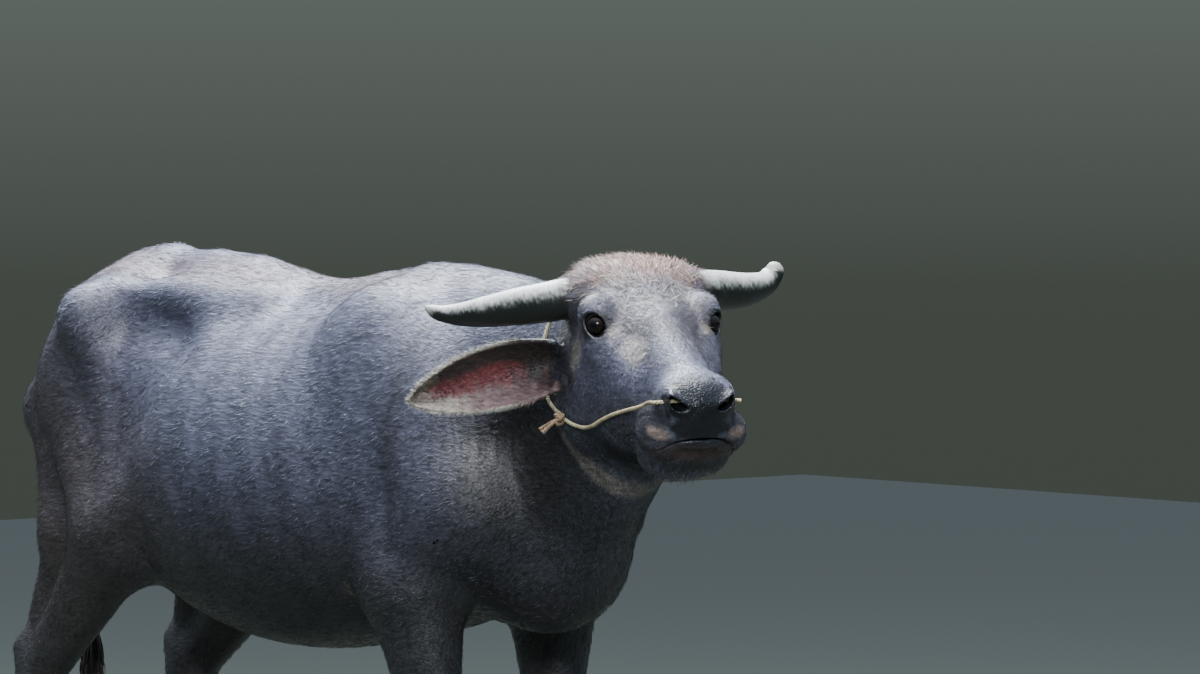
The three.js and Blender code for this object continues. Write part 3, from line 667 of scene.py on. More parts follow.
def mesh_object(name, points, *face_groups, smooth=True):
    """An object from points in body millimetres and groups of faces with as many corners each."""
    mesh = bpy.data.meshes.new(name)
    places = to_frame(points).astype(np.float32)
    groups = [np.asarray(faces, np.int32) for faces in face_groups]
    corners = np.concatenate([faces.ravel() for faces in groups])
    sides = np.concatenate([np.full(len(faces), faces.shape[1], np.int32) for faces in groups])
    mesh.vertices.add(len(places))
    mesh.vertices.foreach_set("co", places.ravel())
    mesh.loops.add(len(corners))
    mesh.loops.foreach_set("vertex_index", corners)
    mesh.polygons.add(len(sides))
    mesh.polygons.foreach_set("loop_start", (np.cumsum(sides) - sides).astype(np.int32))
    mesh.polygons.foreach_set("use_smooth", np.full(len(sides), smooth))
    mesh.update(calc_edges=True)
    mesh.validate()
    thing = bpy.data.objects.new(name, mesh)
    bpy.context.scene.collection.objects.link(thing)
    return thing


def paint(thing, name, values):
    """A colour for each point where values has three columns, or else a number."""
    if values.ndim == 2:
        layer = thing.data.attributes.new(name, "FLOAT_COLOR", "POINT")
        full = np.concatenate([values, np.ones((len(values), 1))], 1)
        layer.data.foreach_set("color", full.astype(np.float32).ravel())
    else:
        layer = thing.data.attributes.new(name, "FLOAT", "POINT")
        layer.data.foreach_set("value", values.astype(np.float32))


def piece(thing, slot, material, *nodes):
    """Rides on the one body, stands for its nodes and takes its finish."""
    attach(thing, "root")
    if nodes:
        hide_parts(*nodes)
    thing.data.materials.append(material)
    return thing


# Curves
def smooth_line(points, count):
    """Points evenly spaced along the centripetal curve through the given ones."""
    p = np.array(points, float)
    p = np.vstack([2 * p[0] - p[1], p, 2 * p[-1] - p[-2]])
    dense = []
    for a, b, c, d in zip(p, p[1:], p[2:], p[3:]):
        t1 = np.linalg.norm(b - a) ** 0.5
        t2 = t1 + np.linalg.norm(c - b) ** 0.5
        t3 = t2 + np.linalg.norm(d - c) ** 0.5
        t = np.linspace(t1, t2, 24, endpoint=False)[:, None]
        ab = (a * (t1 - t) + b * t) / t1
        bc = (b * (t2 - t) + c * (t - t1)) / (t2 - t1)
        cd = (c * (t3 - t) + d * (t - t2)) / (t3 - t2)
        abc = (ab * (t2 - t) + bc * t) / t2
        bcd = (bc * (t3 - t) + cd * (t - t1)) / (t3 - t1)
        dense.append((abc * (t2 - t) + bcd * (t - t1)) / (t2 - t1))
    dense = np.vstack(dense + [p[-2:-1]])
    run = np.concatenate([[0], np.cumsum(np.linalg.norm(np.diff(dense, axis=0), axis=1))])
    at = np.linspace(0, run[-1], count)
    return np.stack([np.interp(at, run, dense[:, k]) for k in range(3)], 1), run[-1]


def unit(v):
    return v / np.maximum(np.linalg.norm(v, axis=-1, keepdims=True), 1e-9)


def carried_frames(line):
    """Tangents of a line and two directions across it that don't twist along it."""
    tangents = unit(np.gradient(line, axis=0))
    side = np.cross(tangents[0], (0.0, 0.0, 1.0))
    sides = []
    for t in tangents:
        side = side - t * (side @ t)
        side = side / np.linalg.norm(side)
        sides.append(side)
    sides = np.array(sides)
    return tangents, sides, np.cross(sides, tangents)


def tube_faces(count, sides):
    """Quads between rings of points, and triangles at both ends, whose middles are the last two points."""
    i, j = np.meshgrid(np.arange(count - 1), np.arange(sides), indexing="ij")
    k = (j + 1) % sides
    quads = np.stack([i * sides + j, i * sides + k, (i + 1) * sides + k, (i + 1) * sides + j], -1)
    j = np.arange(sides)
    k = (j + 1) % sides
    last = (count - 1) * sides
    start = np.stack([np.full(sides, count * sides), k, j], 1)
    end = np.stack([np.full(sides, count * sides + 1), last + j, last + k], 1)
    return quads.reshape(-1, 4), np.vstack([start, end])


def swept(line, across, up, sides):
    """A closed tube: across and up are its half widths, as vectors at each point of the line."""
    turn = np.linspace(0, 2 * np.pi, sides, endpoint=False)[None, :, None]
    rings = line[:, None] + across[:, None] * np.cos(turn) + up[:, None] * np.sin(turn)
    points = np.vstack([rings.reshape(-1, 3), line[:1], line[-1:]])
    quads, caps = tube_faces(len(line), sides)
    if np.cross(across[0], up[0]) @ (line[1] - line[0]) < 0:
        return points, quads[:, ::-1], caps[:, ::-1]
    return points, quads, caps


def gathered(shapes):
    """Several lots of points, quads and triangles as one."""
    points = []
    quads = []
    tris = []
    base = 0
    for p, q, t in shapes:
        points.append(p)
        quads.append(q + base)
        tris.append(t + base)
        base += len(p)
    return np.vstack(points), np.vstack(quads), np.vstack(tris)


def ripple(p, size):
    """Cheap smooth noise from -1 to 1."""
    x, y, z = (p[..., k] / size for k in range(3))
    a = np.sin(x + 1.7 * np.sin(0.7 * y + 0.4)) * np.sin(z + 1.3 * np.sin(0.9 * x))
    b = np.sin(1.9 * y + 1.1 * np.sin(1.3 * z)) * np.sin(2.1 * x + 0.6 * z)
    return 0.6 * a + 0.4 * b


def eased(t):
    t = np.clip(t, 0, 1)
    return t * t * (3 - 2 * t)


def blot(p, middle, radii, soft=0.45):
    k = np.linalg.norm((p - np.array(middle)) / np.array(radii), axis=-1)
    return eased((1 + soft - k * (1 + 0.22 * ripple(p, 5.0))) / (2 * soft))


# Loose skin: zones of fine folds. Middle, radii, direction across the folds, spacing and depth
FOLD_ZONES = (
    ((300, 150, 930), (190, 120, 170), (1.0, 0, 0.22), 23.0, 1.3),
    ((150, 200, 900), (120, 120, 190), (1.0, 0, 0.30), 17.0, 0.7),
    ((430, 60, 850), (110, 90, 90), (0.75, 0, 0.65), 19.0, 1.6),
    ((-585, 220, 700), (110, 110, 80), (0.45, 0, 0.9), 20.0, 1.8),
    ((-40, 190, 650), (90, 70, 70), (0.55, 0, -0.8), 19.0, 1.6),
    ((-860, 120, 760), (90, 90, 120), (0.9, 0, 0.4), 27.0, 0.8),
)
RIB_ZONE = ((-300, 240, 860), (300, 170, 210))
RIB_LEAN = 0.3
RIB_SPACING = 74.0
RIB_DEPTH = 2.2


def both_sides(p):
    """Points with those of the right side folded over on to the left."""
    return p * (1, 0, 1) + np.abs(p) * (0, 1, 0)


def folded(p, n):
    """Points moved in along creases of loose skin and between the ribs."""
    both = both_sides(p)
    depth = np.zeros(len(p))
    for middle, radii, across, spacing, most in FOLD_ZONES:
        zone = blot(both, middle, radii, 0.6)
        wave = (both @ unit(np.array(across)) + 0.45 * spacing * ripple(both, 55.0)) / spacing
        crease = (1 - np.abs(np.sin(np.pi * wave))) ** 3
        depth += zone * crease * most * (0.6 + 0.4 * ripple(both, 90.0))
    zone = blot(both, *RIB_ZONE, 0.7)
    rib = np.sin(2 * np.pi * (both[:, 0] + RIB_LEAN * (both[:, 2] - RIB_ZONE[0][2])) / RIB_SPACING)
    depth += zone * (0.5 - 0.5 * rib) * RIB_DEPTH
    return p - n * depth[:, None]


# Markings
SLATE = np.array((0.066, 0.069, 0.102))
DUSK = np.array((0.013, 0.012, 0.013))
UMBER = np.array((0.046, 0.034, 0.030))
RUST = np.array((0.20, 0.110, 0.075))
BROW = np.array((0.046, 0.039, 0.044))
CREAM = np.array((0.52, 0.46, 0.36))
CHEVRON = np.array((0.22, 0.195, 0.17))
PINK = np.array((0.26, 0.19, 0.16))
LIP_BROWN = np.array((0.070, 0.036, 0.030))
NOSE_BLACK = np.array((0.008, 0.009, 0.013))
EAR_RED = np.array((0.17, 0.034, 0.036))
EAR_PINK = np.array((0.20, 0.125, 0.12))
EAR_PALE = np.array((0.32, 0.28, 0.23))
EAR_BROWN_AND_SHADE = np.array((0.040, 0.026, 0.024))

# Patches of the head: colour, middle, radii, strength, on which sides
HEAD_PATCHES = (
    (BROW, (0, 0, 20), (125, 90, 54), 0.8, (0,)),
    (RUST, (-108, 0, 30), (56, 100, 44), 0.9, (0,)),
    # Painted shade behind each cheek and under the ear
    (DUSK, (-52, 104, -70), (36, 28, 96), 0.8, (1, -1)),
    (DUSK, (-112, 90, -70), (42, 40, 74), 0.9, (1, -1)),
    (DUSK, (212, 62, -42), (50, 30, 34), 0.8, (1, -1)),
    (DUSK, (150, 54, -100), (80, 40, 44), 0.75, (1, -1)),
    # Painted shade under the jaw
    (DUSK, (60, 0, -190), (150, 84, 48), 0.9, (0,)),
    (DUSK, (4, 92, -2), (32, 26, 27), 0.9, (1, -1)),
    (CREAM, (83, 54, -2), (26, 20, 24), 0.20, (-1,)),
    (CREAM, (-30, 100, -66), (22, 22, 28), 0.20, (1, -1)),
    (CREAM, (42, 76, 12), (15, 12, 11), 0.34, (1, -1)),
    (CREAM, (-28, 95, 31), (17, 13, 5), 0.25, (1, -1)),
    (DUSK, (222, 5, -66), (60, 66, 10), 0.9, (0,)),
    (LIP_BROWN, (222, 5, -88), (44, 64, 24), 0.9, (0,)),
    (DUSK, (200, 5, -118), (60, 64, 18), 0.85, (0,)),
    (PINK, (243, 62, -57), (22, 18, 9), 0.8, (1, -1)),
)
# Patches of the body, the same on both sides: the hide's own colours, a painted sheen along the back, and
# painted shade behind the shoulder and on the neck
BODY_PATCHES = (
    (CREAM, (-44, 190, 600), (26, 30, 34), 0.4),
    # Painted reddish-brown sheen along the top of the back and the rump
    (RUST, (-330, 60, 1120), (420, 90, 26), 0.25),
    (RUST, (-800, 60, 1120), (120, 100, 40), 0.25),
    (UMBER, (-820, 160, 780), (190, 160, 260), 0.75),
    (UMBER, (-560, 260, 760), (150, 120, 130), 0.5),
    # Painted shade in the dip behind the shoulder
    (DUSK, (88, 190, 880), (20, 110, 150), 0.5),
    # Painted shade on the side of the neck, the chest and the front of the shoulder, in two patches
    (DUSK, (355, 110, 835), (120, 120, 130), 0.75),
    (DUSK, (300, 150, 870), (130, 120, 140), 0.94),
)
CHEVRON_LINE = (
    (404, -176, 930), (440, -140, 866), (474, -92, 822), (492, -50, 812), (496, -4, 836), (480, 34, 890),
)
CHEVRON_WIDTH = 17.0
# Heights between which painted shade darkens the belly, the shins pale again, and the feet turn brown
BELLY_SHADE = (900.0, 600.0)
SHIN_PALE = (420.0, 260.0)
FOOT_BROWN = (150.0, 60.0)
STREAK_PLACE = ((-75, 0, 40), (80, 88, 44))
NOSE_PAD = (((252, -3, -4), (42, 58, 34), 0.12), ((260, -1, -38), (36, 44, 26), 0.2))
NOSTRIL_SHADE = (26, 15, 9)


def line_gap(p, line):
    """How far points are from a line of straight stretches."""
    best = np.full(len(p), FAR)
    for start, end in zip(line, line[1:]):
        start = np.array(start, float)
        way = np.array(end, float) - start
        share = np.clip((p - start) @ way / (way @ way), 0, 1)
        best = np.minimum(best, np.linalg.norm(p - start - share[:, None] * way, axis=1))
    return best


def mixed(colours, other, share):
    return colours + (other - colours) * share[:, None]


EAR_RIM = 0.93


def on_ear(p, s):
    """Share along the ear, share across it from -1 below to 1 above, and which points are on it or inside."""
    leaf = EARS[s]
    along, u, x, y = leaf.place(p)
    a = np.clip(x / np.maximum(leaf.half_at(u), LEAF_LEAST), -1, 1)
    near = (leaf.distance(p.astype(np.float32)) < 2.0) & (along > 0.02)
    return u, a, near, (y - leaf.cup_at(u) * a * a) > 0


def ear_colours(p, u, a, inside):
    """An ear is red and brown inside, with painted shade darkening its upper inside under the rim, pale below
    and at its tip, slate behind, with cream hair at its rim.
    """
    wave = 0.12 * ripple(p, 9.0)
    rim = eased((np.abs(a) - EAR_RIM) / 0.06)
    low = mixed(np.tile(EAR_PINK, (len(p), 1)), EAR_PALE, eased((u + wave - 0.55) / 0.25))
    # Darker towards the upper edge inside: brown hair with painted shade under the overhanging rim
    ear = mixed(np.tile(EAR_RED, (len(p), 1)), EAR_BROWN_AND_SHADE, eased((a + wave - 0.22) / 0.34))
    ear = mixed(ear, low, eased((-0.12 - a + wave) / 0.4))
    ear = mixed(ear, EAR_PALE * 0.8, eased((u + wave - 0.74) / 0.2) * 0.9)
    ear = mixed(ear, EAR_BROWN_AND_SHADE * 0.6, eased((0.42 + 0.2 * a - u + wave) / 0.28))
    ear = mixed(ear, CREAM, rim * eased((u - 0.2) / 0.2) * 0.8)
    back = mixed(np.tile(SLATE * 0.7, (len(p), 1)), CREAM, rim * 0.5)
    return np.where(inside[:, None], ear, back)


def between(p, top, bottom):
    """How far down points are, from 0 at the height top to 1 at bottom."""
    return eased((top - p[:, 2]) / (top - bottom))


def hide_look(p):
    """Colour and wetness of the skin at body points; the colour carries painted shade and a painted sheen
    besides the hide's own markings.
    """
    q = in_head(p)
    colours = np.tile(SLATE, (len(p), 1))
    # Painted shade: the belly and everything below it darken
    colours = mixed(colours, DUSK * 1.4, 0.92 * between(p, *BELLY_SHADE))
    colours = mixed(colours, SLATE * 0.75, 0.6 * between(p, *SHIN_PALE))
    colours = mixed(colours, UMBER, 0.8 * between(p, *FOOT_BROWN))
    for colour, middle, radii, strength in BODY_PATCHES:
        colours = mixed(colours, colour, strength * blot(both_sides(p), middle, radii, 0.6))
    gap = line_gap(p, CHEVRON_LINE) / CHEVRON_WIDTH
    colours = mixed(colours, CHEVRON, 0.6 * eased(1.5 - gap + 0.3 * ripple(p, 7.0)))
    for colour, middle, radii, strength, sides in HEAD_PATCHES:
        for s in sides:
            place = (middle[0], middle[1] * (s or 1), middle[2])
            colours = mixed(colours, colour, strength * blot(q, place, radii))
    # Streaks of cream hair on the poll and forehead
    streak = eased((ripple(q * (0.35, 1.0, 0.5), 2.6) - 0.25) * 2.2) * blot(q, *STREAK_PLACE)
    colours = mixed(colours, CREAM, 0.3 * streak)
    wet = np.maximum(*(blot(q, *spot) for spot in NOSE_PAD))
    colours = mixed(colours, NOSE_BLACK, wet)
    for s, _ in SIDES:
        along, across, gaze = eye_frame(s)
        e = q - EYE_PLACE[s]
        slit = np.sqrt((e @ along / LID_OPEN[0]) ** 2 + (e @ across / LID_OPEN[1]) ** 2)
        on_lid = (np.linalg.norm(e, axis=1) < EYE_RADIUS + 9) & (e @ gaze > 0)
        rim = eased((1.62 - slit) / 0.3) * on_lid
        colours = mixed(colours, NOSE_BLACK, rim)
        wet = np.maximum(wet, 0.3 * rim * eased((1.35 - slit) / 0.2))
        # Painted shade: black inside each nostril's hollow
        hole = np.linalg.norm((q - NOSTRIL[s]) / NOSTRIL_SHADE, axis=1)
        colours = mixed(colours, NOSE_BLACK, eased((1.3 - hole) / 0.3))
        u, a, near, inside = on_ear(p, s)
        colours = np.where(near[:, None], ear_colours(p, u, a, inside), colours)
        wet = np.where(near, 0.0, wet)
    shade = 1 + 0.16 * ripple(p, 41.0) + 0.10 * ripple(p, 13.0)
    return np.clip(colours * shade[:, None], 0.004, 0.9), wet


# Materials
class Look:
    """A material, with short ways to make its nodes."""

    def __init__(self, name):
        self.material = bpy.data.materials.new(name)
        self.material.use_nodes = True
        self.tree = self.material.node_tree
        self.shader = self.tree.nodes["Principled BSDF"]
        self.place = self.node("ShaderNodeTexCoord").outputs["Object"]

    def node(self, kind, links=None, **settings):
        made = self.tree.nodes.new(kind)
        for key, value in settings.items():
            if key in made.inputs:
                made.inputs[key].default_value = value
            else:
                setattr(made, key, value)
        for key, source in (links or {}).items():
            self.tree.links.new(source, made.inputs[key])
        return made

    def link(self, socket, source):
        self.tree.links.new(source, self.shader.inputs[socket])

    def plain(self, socket, value):
        self.shader.inputs[socket].default_value = value

    def math(self, operation, a, b):
        made = self.node("ShaderNodeMath", operation=operation)
        for socket, value in zip(made.inputs, (a, b)):
            if isinstance(value, (int, float)):
                socket.default_value = value
            else:
                self.tree.links.new(value, socket)
        return made.outputs[0]

    def plus(self, a, b):
        return self.math("ADD", a, b)

    def times(self, a, b):
        return self.math("MULTIPLY", a, b)

    def scaled(self, value, gain, start):
        return self.plus(self.times(value, gain), start)

    def painted(self, name, output="Color"):
        return self.node("ShaderNodeAttribute", attribute_name=name).outputs[output]

    def noise(self, scale, stretch=(1, 1, 1), detail=3.0, turn=(0, 0, 0)):
        mapping = self.node("ShaderNodeMapping", {"Vector": self.place}, Scale=stretch, Rotation=turn)
        made = self.node("ShaderNodeTexNoise", {"Vector": mapping.outputs[0]}, Scale=scale, Detail=detail)
        return made.outputs["Fac"]

    def cells(self, scale, feature="F1"):
        made = self.node("ShaderNodeTexVoronoi", {"Vector": self.place}, Scale=scale, feature=feature)
        return made.outputs["Distance"]

    def spread(self, value, low, high):
        """A value stretched so that low becomes 0 and high becomes 1."""
        made = self.node("ShaderNodeMapRange", {"Value": value})
        made.inputs["From Min"].default_value = low
        made.inputs["From Max"].default_value = high
        return made.outputs[0]

    def ramp(self, value, *stops):
        made = self.node("ShaderNodeValToRGB", {"Fac": value})
        for element, (position, colour) in zip(made.color_ramp.elements, stops):
            element.position = position
            element.color = (*colour, 1)
        return made.outputs[0]

    def base(self, colour, light):
        """The base colour: a colour made darker or lighter by a number."""
        made = self.node("ShaderNodeVectorMath", {0: colour, "Scale": light}, operation="SCALE")
        self.link("Base Color", made.outputs[0])

    def bump(self, height, strength):
        made = self.node("ShaderNodeBump", {"Height": height}, Strength=strength, Distance=1.0)
        self.link("Normal", made.outputs[0])


LIE_TURN = (0, math.radians(38), 0)
STREAKS = 230.0
BROAD_STREAKS = 38.0
PORES = 900.0
CREASES = 210.0
PEBBLES = 330.0
HAIR_GRAIN = 500.0


def hide_material():
    """Slate skin under short hair: streaks along the hair's lie, pores, creases, and a wet black nose."""
    look = Look("hide")
    wet = look.painted("wet", "Fac")
    dry = look.math("SUBTRACT", 1.0, wet)
    streak = look.spread(look.noise(STREAKS, (0.16, 1, 1), 2.0, LIE_TURN), 0.36, 0.66)
    broad = look.noise(BROAD_STREAKS, (0.5, 1, 1), 3.0, LIE_TURN)
    light = look.times(look.scaled(streak, 0.6, 0.7), look.scaled(broad, 0.9, 0.55))
    look.base(look.painted("hide_colour"), light)
    rough = look.times(look.scaled(streak, 0.16, 0.38), dry)
    look.link("Roughness", look.plus(rough, look.times(wet, 0.24)))
    height = look.times(look.times(streak, dry), 0.0005)
    height = look.plus(height, look.times(look.cells(PORES), 0.0002))
    crease = look.math("MINIMUM", look.cells(CREASES, "DISTANCE_TO_EDGE"), 0.12)
    height = look.plus(height, look.times(crease, 0.0022))
    pebble = look.times(look.cells(PEBBLES, "SMOOTH_F1"), wet)
    height = look.plus(height, look.times(pebble, -0.0009))
    look.bump(height, 0.75)
    look.plain("Specular IOR Level", 0.55)
    return look.material


def coat_material():
    """Hair over the skin, in the skin's colours with their painted shade, and painted glints on its paler tufts
    and tips.
    """
    look = Look("coat")
    look.base(look.painted("hide_colour"), look.scaled(look.noise(HAIR_GRAIN, detail=1.0), 0.5, 0.75))
    look.plain("Roughness", 0.42)
    look.plain("Specular IOR Level", 0.6)
    return look.material


def horn_material():
    """Horn in its painted colours, streaked and flaked."""
    look = Look("horn")
    streak = look.noise(120.0, (1, 0.3, 1), 4.0)
    flakes = look.noise(420.0)
    look.base(look.painted("horn_colour"), look.scaled(streak, 0.7, 0.62))
    look.link("Roughness", look.scaled(flakes, 0.3, 0.22))
    look.bump(look.plus(look.times(streak, 0.0006), look.times(flakes, 0.0003)), 0.6)
    return look.material


def hoof_material():
    """Hoof: dark horn with rings, duller and dusty at the ground."""
    look = Look("hoof")
    rings = look.noise(90.0, (0.15, 0.15, 2.2))
    grain = look.noise(260.0, (1, 1, 0.25))
    level = look.node("ShaderNodeSeparateXYZ", {"Vector": look.place}).outputs["Z"]
    clean = look.spread(level, 0.0, 0.05)
    colour = look.ramp(clean, (0.0, (0.060, 0.052, 0.042)), (1.0, (0.022, 0.020, 0.019)))
    look.base(colour, look.scaled(look.times(rings, grain), 2.2, 0.45))
    look.link("Roughness", look.scaled(grain, 0.35, 0.33))
    look.bump(look.plus(look.times(rings, 0.0016), look.times(grain, 0.0005)), 0.7)
    return look.material


def eye_material():
    """A wet eye in its painted colours, with faint fibres."""
    look = Look("eye")
    look.base(look.painted("eye_colour"), look.scaled(look.noise(700.0), 0.5, 0.75))
    look.plain("Roughness", 0.04)
    look.plain("Specular IOR Level", 0.35)
    return look.material


def rope_material(name, tint):
    """Old twisted rope: fine fibres and patches of dirt."""
    look = Look(name)
    fibre = look.noise(1500.0, (1, 0.4, 1), 2.0)
    dirty = [0.45 * v for v in tint]
    colour = look.ramp(look.noise(45.0, detail=4.0), (0.3, dirty), (0.62, tint))
    look.base(colour, look.scaled(fibre, 0.6, 0.7))
    look.plain("Roughness", 0.8)
    look.bump(look.times(fibre, 0.0004), 0.8)
    return look.material


def switch_material():
    """Coarse dark tail hair."""
    look = Look("switch_hair")
    strand = look.noise(260.0, (1, 1, 0.08))
    look.link("Base Color", look.ramp(strand, (0.35, (0.016, 0.013, 0.012)), (0.7, (0.085, 0.062, 0.05))))
    look.plain("Roughness", 0.45)
    look.bump(look.times(strand, 0.001), 0.6)
    return look.material


HIDE = hide_material()
COAT = coat_material()
HORN = horn_material()
HOOF = hoof_material()
EYE = eye_material()
ROPE = rope_material("rope", (0.50, 0.42, 0.25))
KNOT_ROPE = rope_material("knot_rope", (0.30, 0.20, 0.12))
SWITCH = switch_material()

# Skin
skin_points, skin_quads, skin_normals = skin_surface()
skin_points = folded(skin_points, skin_normals)
skin = mesh_object("skin", skin_points, skin_quads)
FLESH_PARTS = ("head", "muzzle", "neck", "forequarters", "barrel", "hindquarters", "ear", "foreleg",
               "hindleg")
FLESH_NODES = [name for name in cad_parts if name.split("_")[0] in FLESH_PARTS] + ["tail"]
piece(skin, "hide", HIDE, *FLESH_NODES)
skin_colours, skin_wet = hide_look(skin_points)
paint(skin, "hide_colour", skin_colours)
paint(skin, "wet", skin_wet)

EYE_RINGS = 40
EYE_SIDES = 56
CORNEA = math.radians(36)
CORNEA_RISE = 1.0
IRIS = math.radians(40)
PUPIL = (math.radians(24), math.radians(12))
IRIS_BROWN = np.array((0.010, 0.006, 0.004))
IRIS_EDGE = np.array((0.006, 0.004, 0.003))
PUPIL_BLACK = np.array((0.003, 0.003, 0.004))
EYE_WHITE = np.array((0.10, 0.07, 0.06))


def eyeball(s, side):
    """A ball with a slight bulge in front, and a wide pupil."""
    along, across, gaze = eye_frame(s)
    polar, turn = np.meshgrid(np.linspace(0, np.pi, EYE_RINGS + 1)[1:-1],
                              np.linspace(0, 2 * np.pi, EYE_SIDES, endpoint=False), indexing="ij")
    polar = np.concatenate([polar.ravel(), [0, np.pi]])
    turn = np.concatenate([turn.ravel(), [0, 0]])
    sideways = np.cos(turn)[:, None] * along + np.sin(turn)[:, None] * across
    out = np.sin(polar)[:, None] * sideways + np.cos(polar)[:, None] * gaze
    radius = EYE_RADIUS + CORNEA_RISE * eased(1.4 - polar / CORNEA)
    ball = (EYE_PLACE[s] + out * radius[:, None]) @ HEAD_AXES.astype(float).T + np.array(HEAD_PLACE)
    quads, caps = tube_faces(EYE_RINGS - 1, EYE_SIDES)
    if np.cross(along, across) @ gaze > 0:
        quads, caps = quads[:, ::-1], caps[:, ::-1]
    eye = mesh_object(f"eyeball_{side}", ball, quads, caps)
    a = np.arctan2(out @ along, out @ gaze)
    c = np.arctan2(out @ across, out @ gaze)
    pupil = eased((1.12 - np.hypot(a / PUPIL[0], c / PUPIL[1])) / 0.2)
    look = np.tile(IRIS_BROWN, (len(ball), 1))
    look = mixed(look, IRIS_EDGE, eased((polar / IRIS - 0.78) / 0.2))
    look = mixed(look, PUPIL_BLACK, pupil)
    look = mixed(look, EYE_WHITE, eased((polar / IRIS - 1.25) / 0.12))
    paint(eye, "eye_colour", look)
    piece(eye, "eye", EYE, f"eye_{side}")


for s, side in SIDES:
    eyeball(s, side)

# Horns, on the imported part's lines
HORN_LINES = {
    -1: ((-92, -78, 0), (-100, -108, -9), (-110, -134, -20), (-130, -166, -36), (-162, -212, -62),
         (-188, -244, -79), (-204, -268, -84), (-214, -289, -78)),
    1: ((-92, 78, 4), (-100, 108, 2), (-120, 137, -8), (-160, 196, -30), (-196, 238, -44),
        (-222, 266, -48), (-235, 280, -36), (-239, 279, -21)),
}
HORN_BASE = 33.0
HORN_TIP = {1: 15.0, -1: 7.0}
HORN_TAPER = 2.4
HORN_FLAT = 0.86
HORN_RINGS = 150
HORN_SIDES = 40
HORN_SUNK = 0.4
RIDGE_COUNT = 34
RIDGE_HEIGHT = 0.55
HORN_TOP_LIGHT = np.array((0.66, 0.67, 0.64))
HORN_DARK = np.array((0.012, 0.016, 0.015))
HORN_CREAM = np.array((0.62, 0.62, 0.57))


def horn_shell(s, side):
    """A horn with growth ridges, green-black, with painted light paling its upper side and painted shade
    between its ridges, cream at its tip and brown at its foot.
    """
    line, _ = smooth_line([head_point(p) for p in HORN_LINES[s]], HORN_RINGS)
    u = np.linspace(0, 1, HORN_RINGS)
    tangent = unit(np.gradient(line, axis=0))
    across = unit(np.cross(tangent, HEAD_AXES[:, 0].astype(float)))
    up = np.cross(across, tangent)
    radius = HORN_BASE + (HORN_TIP[s] - HORN_BASE) * u ** HORN_TAPER
    ridges = RIDGE_HEIGHT * (1 - u) ** 1.2 * np.abs(np.sin(np.pi * RIDGE_COUNT * u ** 0.8))
    radius = radius * np.sqrt(np.clip((1 - u) / 0.05, 0, 1)) ** 0.8 + ridges - HORN_SUNK
    radius = np.maximum(radius - 3.5 * eased((0.12 - u) / 0.1), HORN_SUNK)
    p, q, t = swept(line, across * radius[:, None], up * (radius * HORN_FLAT)[:, None], HORN_SIDES)
    horn = mesh_object(f"horn_shell_{side}", p, q, t)
    out = unit(p[:-2].reshape(HORN_RINGS, HORN_SIDES, 3) - line[:, None])
    above = np.concatenate([out[..., 2].ravel(), [0, 0]])
    share = np.concatenate([np.repeat(u, HORN_SIDES), [0, 1]])
    groove = np.concatenate([np.repeat(ridges, HORN_SIDES), [0, 0]])
    wave = 0.2 * ripple(p, 2.3) + 0.14 * ripple(p, 9.0)
    look = np.tile(HORN_DARK, (len(p), 1))
    # Painted light: the sides that face up turn pale
    look = mixed(look, HORN_TOP_LIGHT, eased((above + wave - 0.02) / 0.75) * eased(0.75 + share))
    look = mixed(look, HORN_CREAM, eased((share + 0.06 * wave - 0.93) / 0.06) * 0.9)
    # Painted shade: darker between the growth ridges
    look = look * (0.78 + 0.36 * groove)[:, None]
    look = mixed(look, UMBER, eased((0.13 + 0.05 * wave - share) / 0.07))
    paint(horn, "horn_colour", look)
    piece(horn, "horn", HORN, f"horn_{side}")


for s, side in SIDES:
    horn_shell(s, side)

# Hooves and dewclaws keep the part's shape, with worn edges
EDGE_ROUND = 0.0035
for name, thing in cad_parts.items():
    if "claw" in name:
        thing.data.materials.clear()
        thing.data.materials.append(HOOF)
        worn = thing.modifiers.new("worn edges", "BEVEL")
        worn.width = EDGE_ROUND if name.startswith("claw") else EDGE_ROUND / 2
        worn.segments = 3
        worn.limit_method = "ANGLE"
        worn.angle_limit = math.radians(24)

# Halter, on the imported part's routes: through the nose to a knot on each cheek, and behind the ears
NOSE_ROPE = ((-26, 104, -176), (-6, 99, -174), (24, 92, -163), (56, 88, -142), (88, 85, -115), (130, 80, -82),
             (176, 72, -50), (214, 62, -22), (236, 52, -8), (242, 42, -5), (238, 30, -6), (234, 14, -6))
POLL_ROPE = ((-40, 106, -174), (-66, 108, -178), (-98, 106, -180), (-138, 98, -162), (-172, 90, -112),
             (-196, 80, -60), (-214, 52, -8), (-220, 16, 4))
KNOT = (-32, 105, -177)
KNOT_RADIUS = 10.0
ROPE_RADIUS = 3.0
ROPE_LIFT = 6.3
ROPE_POINTS = 46
ROPE_PITCH = 21.0
ROPE_STEP = 1.6
NOSTRIL_REACH = 50.0
LOOSE_ENDS = ((2.2, 1.1, 34.0), (0.9, 1.2, 30.0))


def laid(p, lift):
    """Points moved straight out from the skin, or back to it, until they are lift above it."""
    for _ in range(8):
        d, slope = skin_slopes(p)
        p = p - unit(slope) * ((d - lift) * 0.9)[:, None]
    return p


def halter_line(half, hangs):
    right = [head_point((x, -y, z)) for x, y, z in half]
    left = [head_point(p) for p in reversed(half)]
    rough, length = smooth_line(right + left, ROPE_POINTS + 1)
    settled = laid(rough, ROPE_LIFT)
    if hangs:
        free = (skin_slopes(rough)[0] > ROPE_LIFT) | (np.abs(in_head(rough)[:, 1]) < NOSTRIL_REACH)
        settled = np.where(free[:, None], rough, settled)
    return smooth_line(settled, int(length / ROPE_STEP))[0]


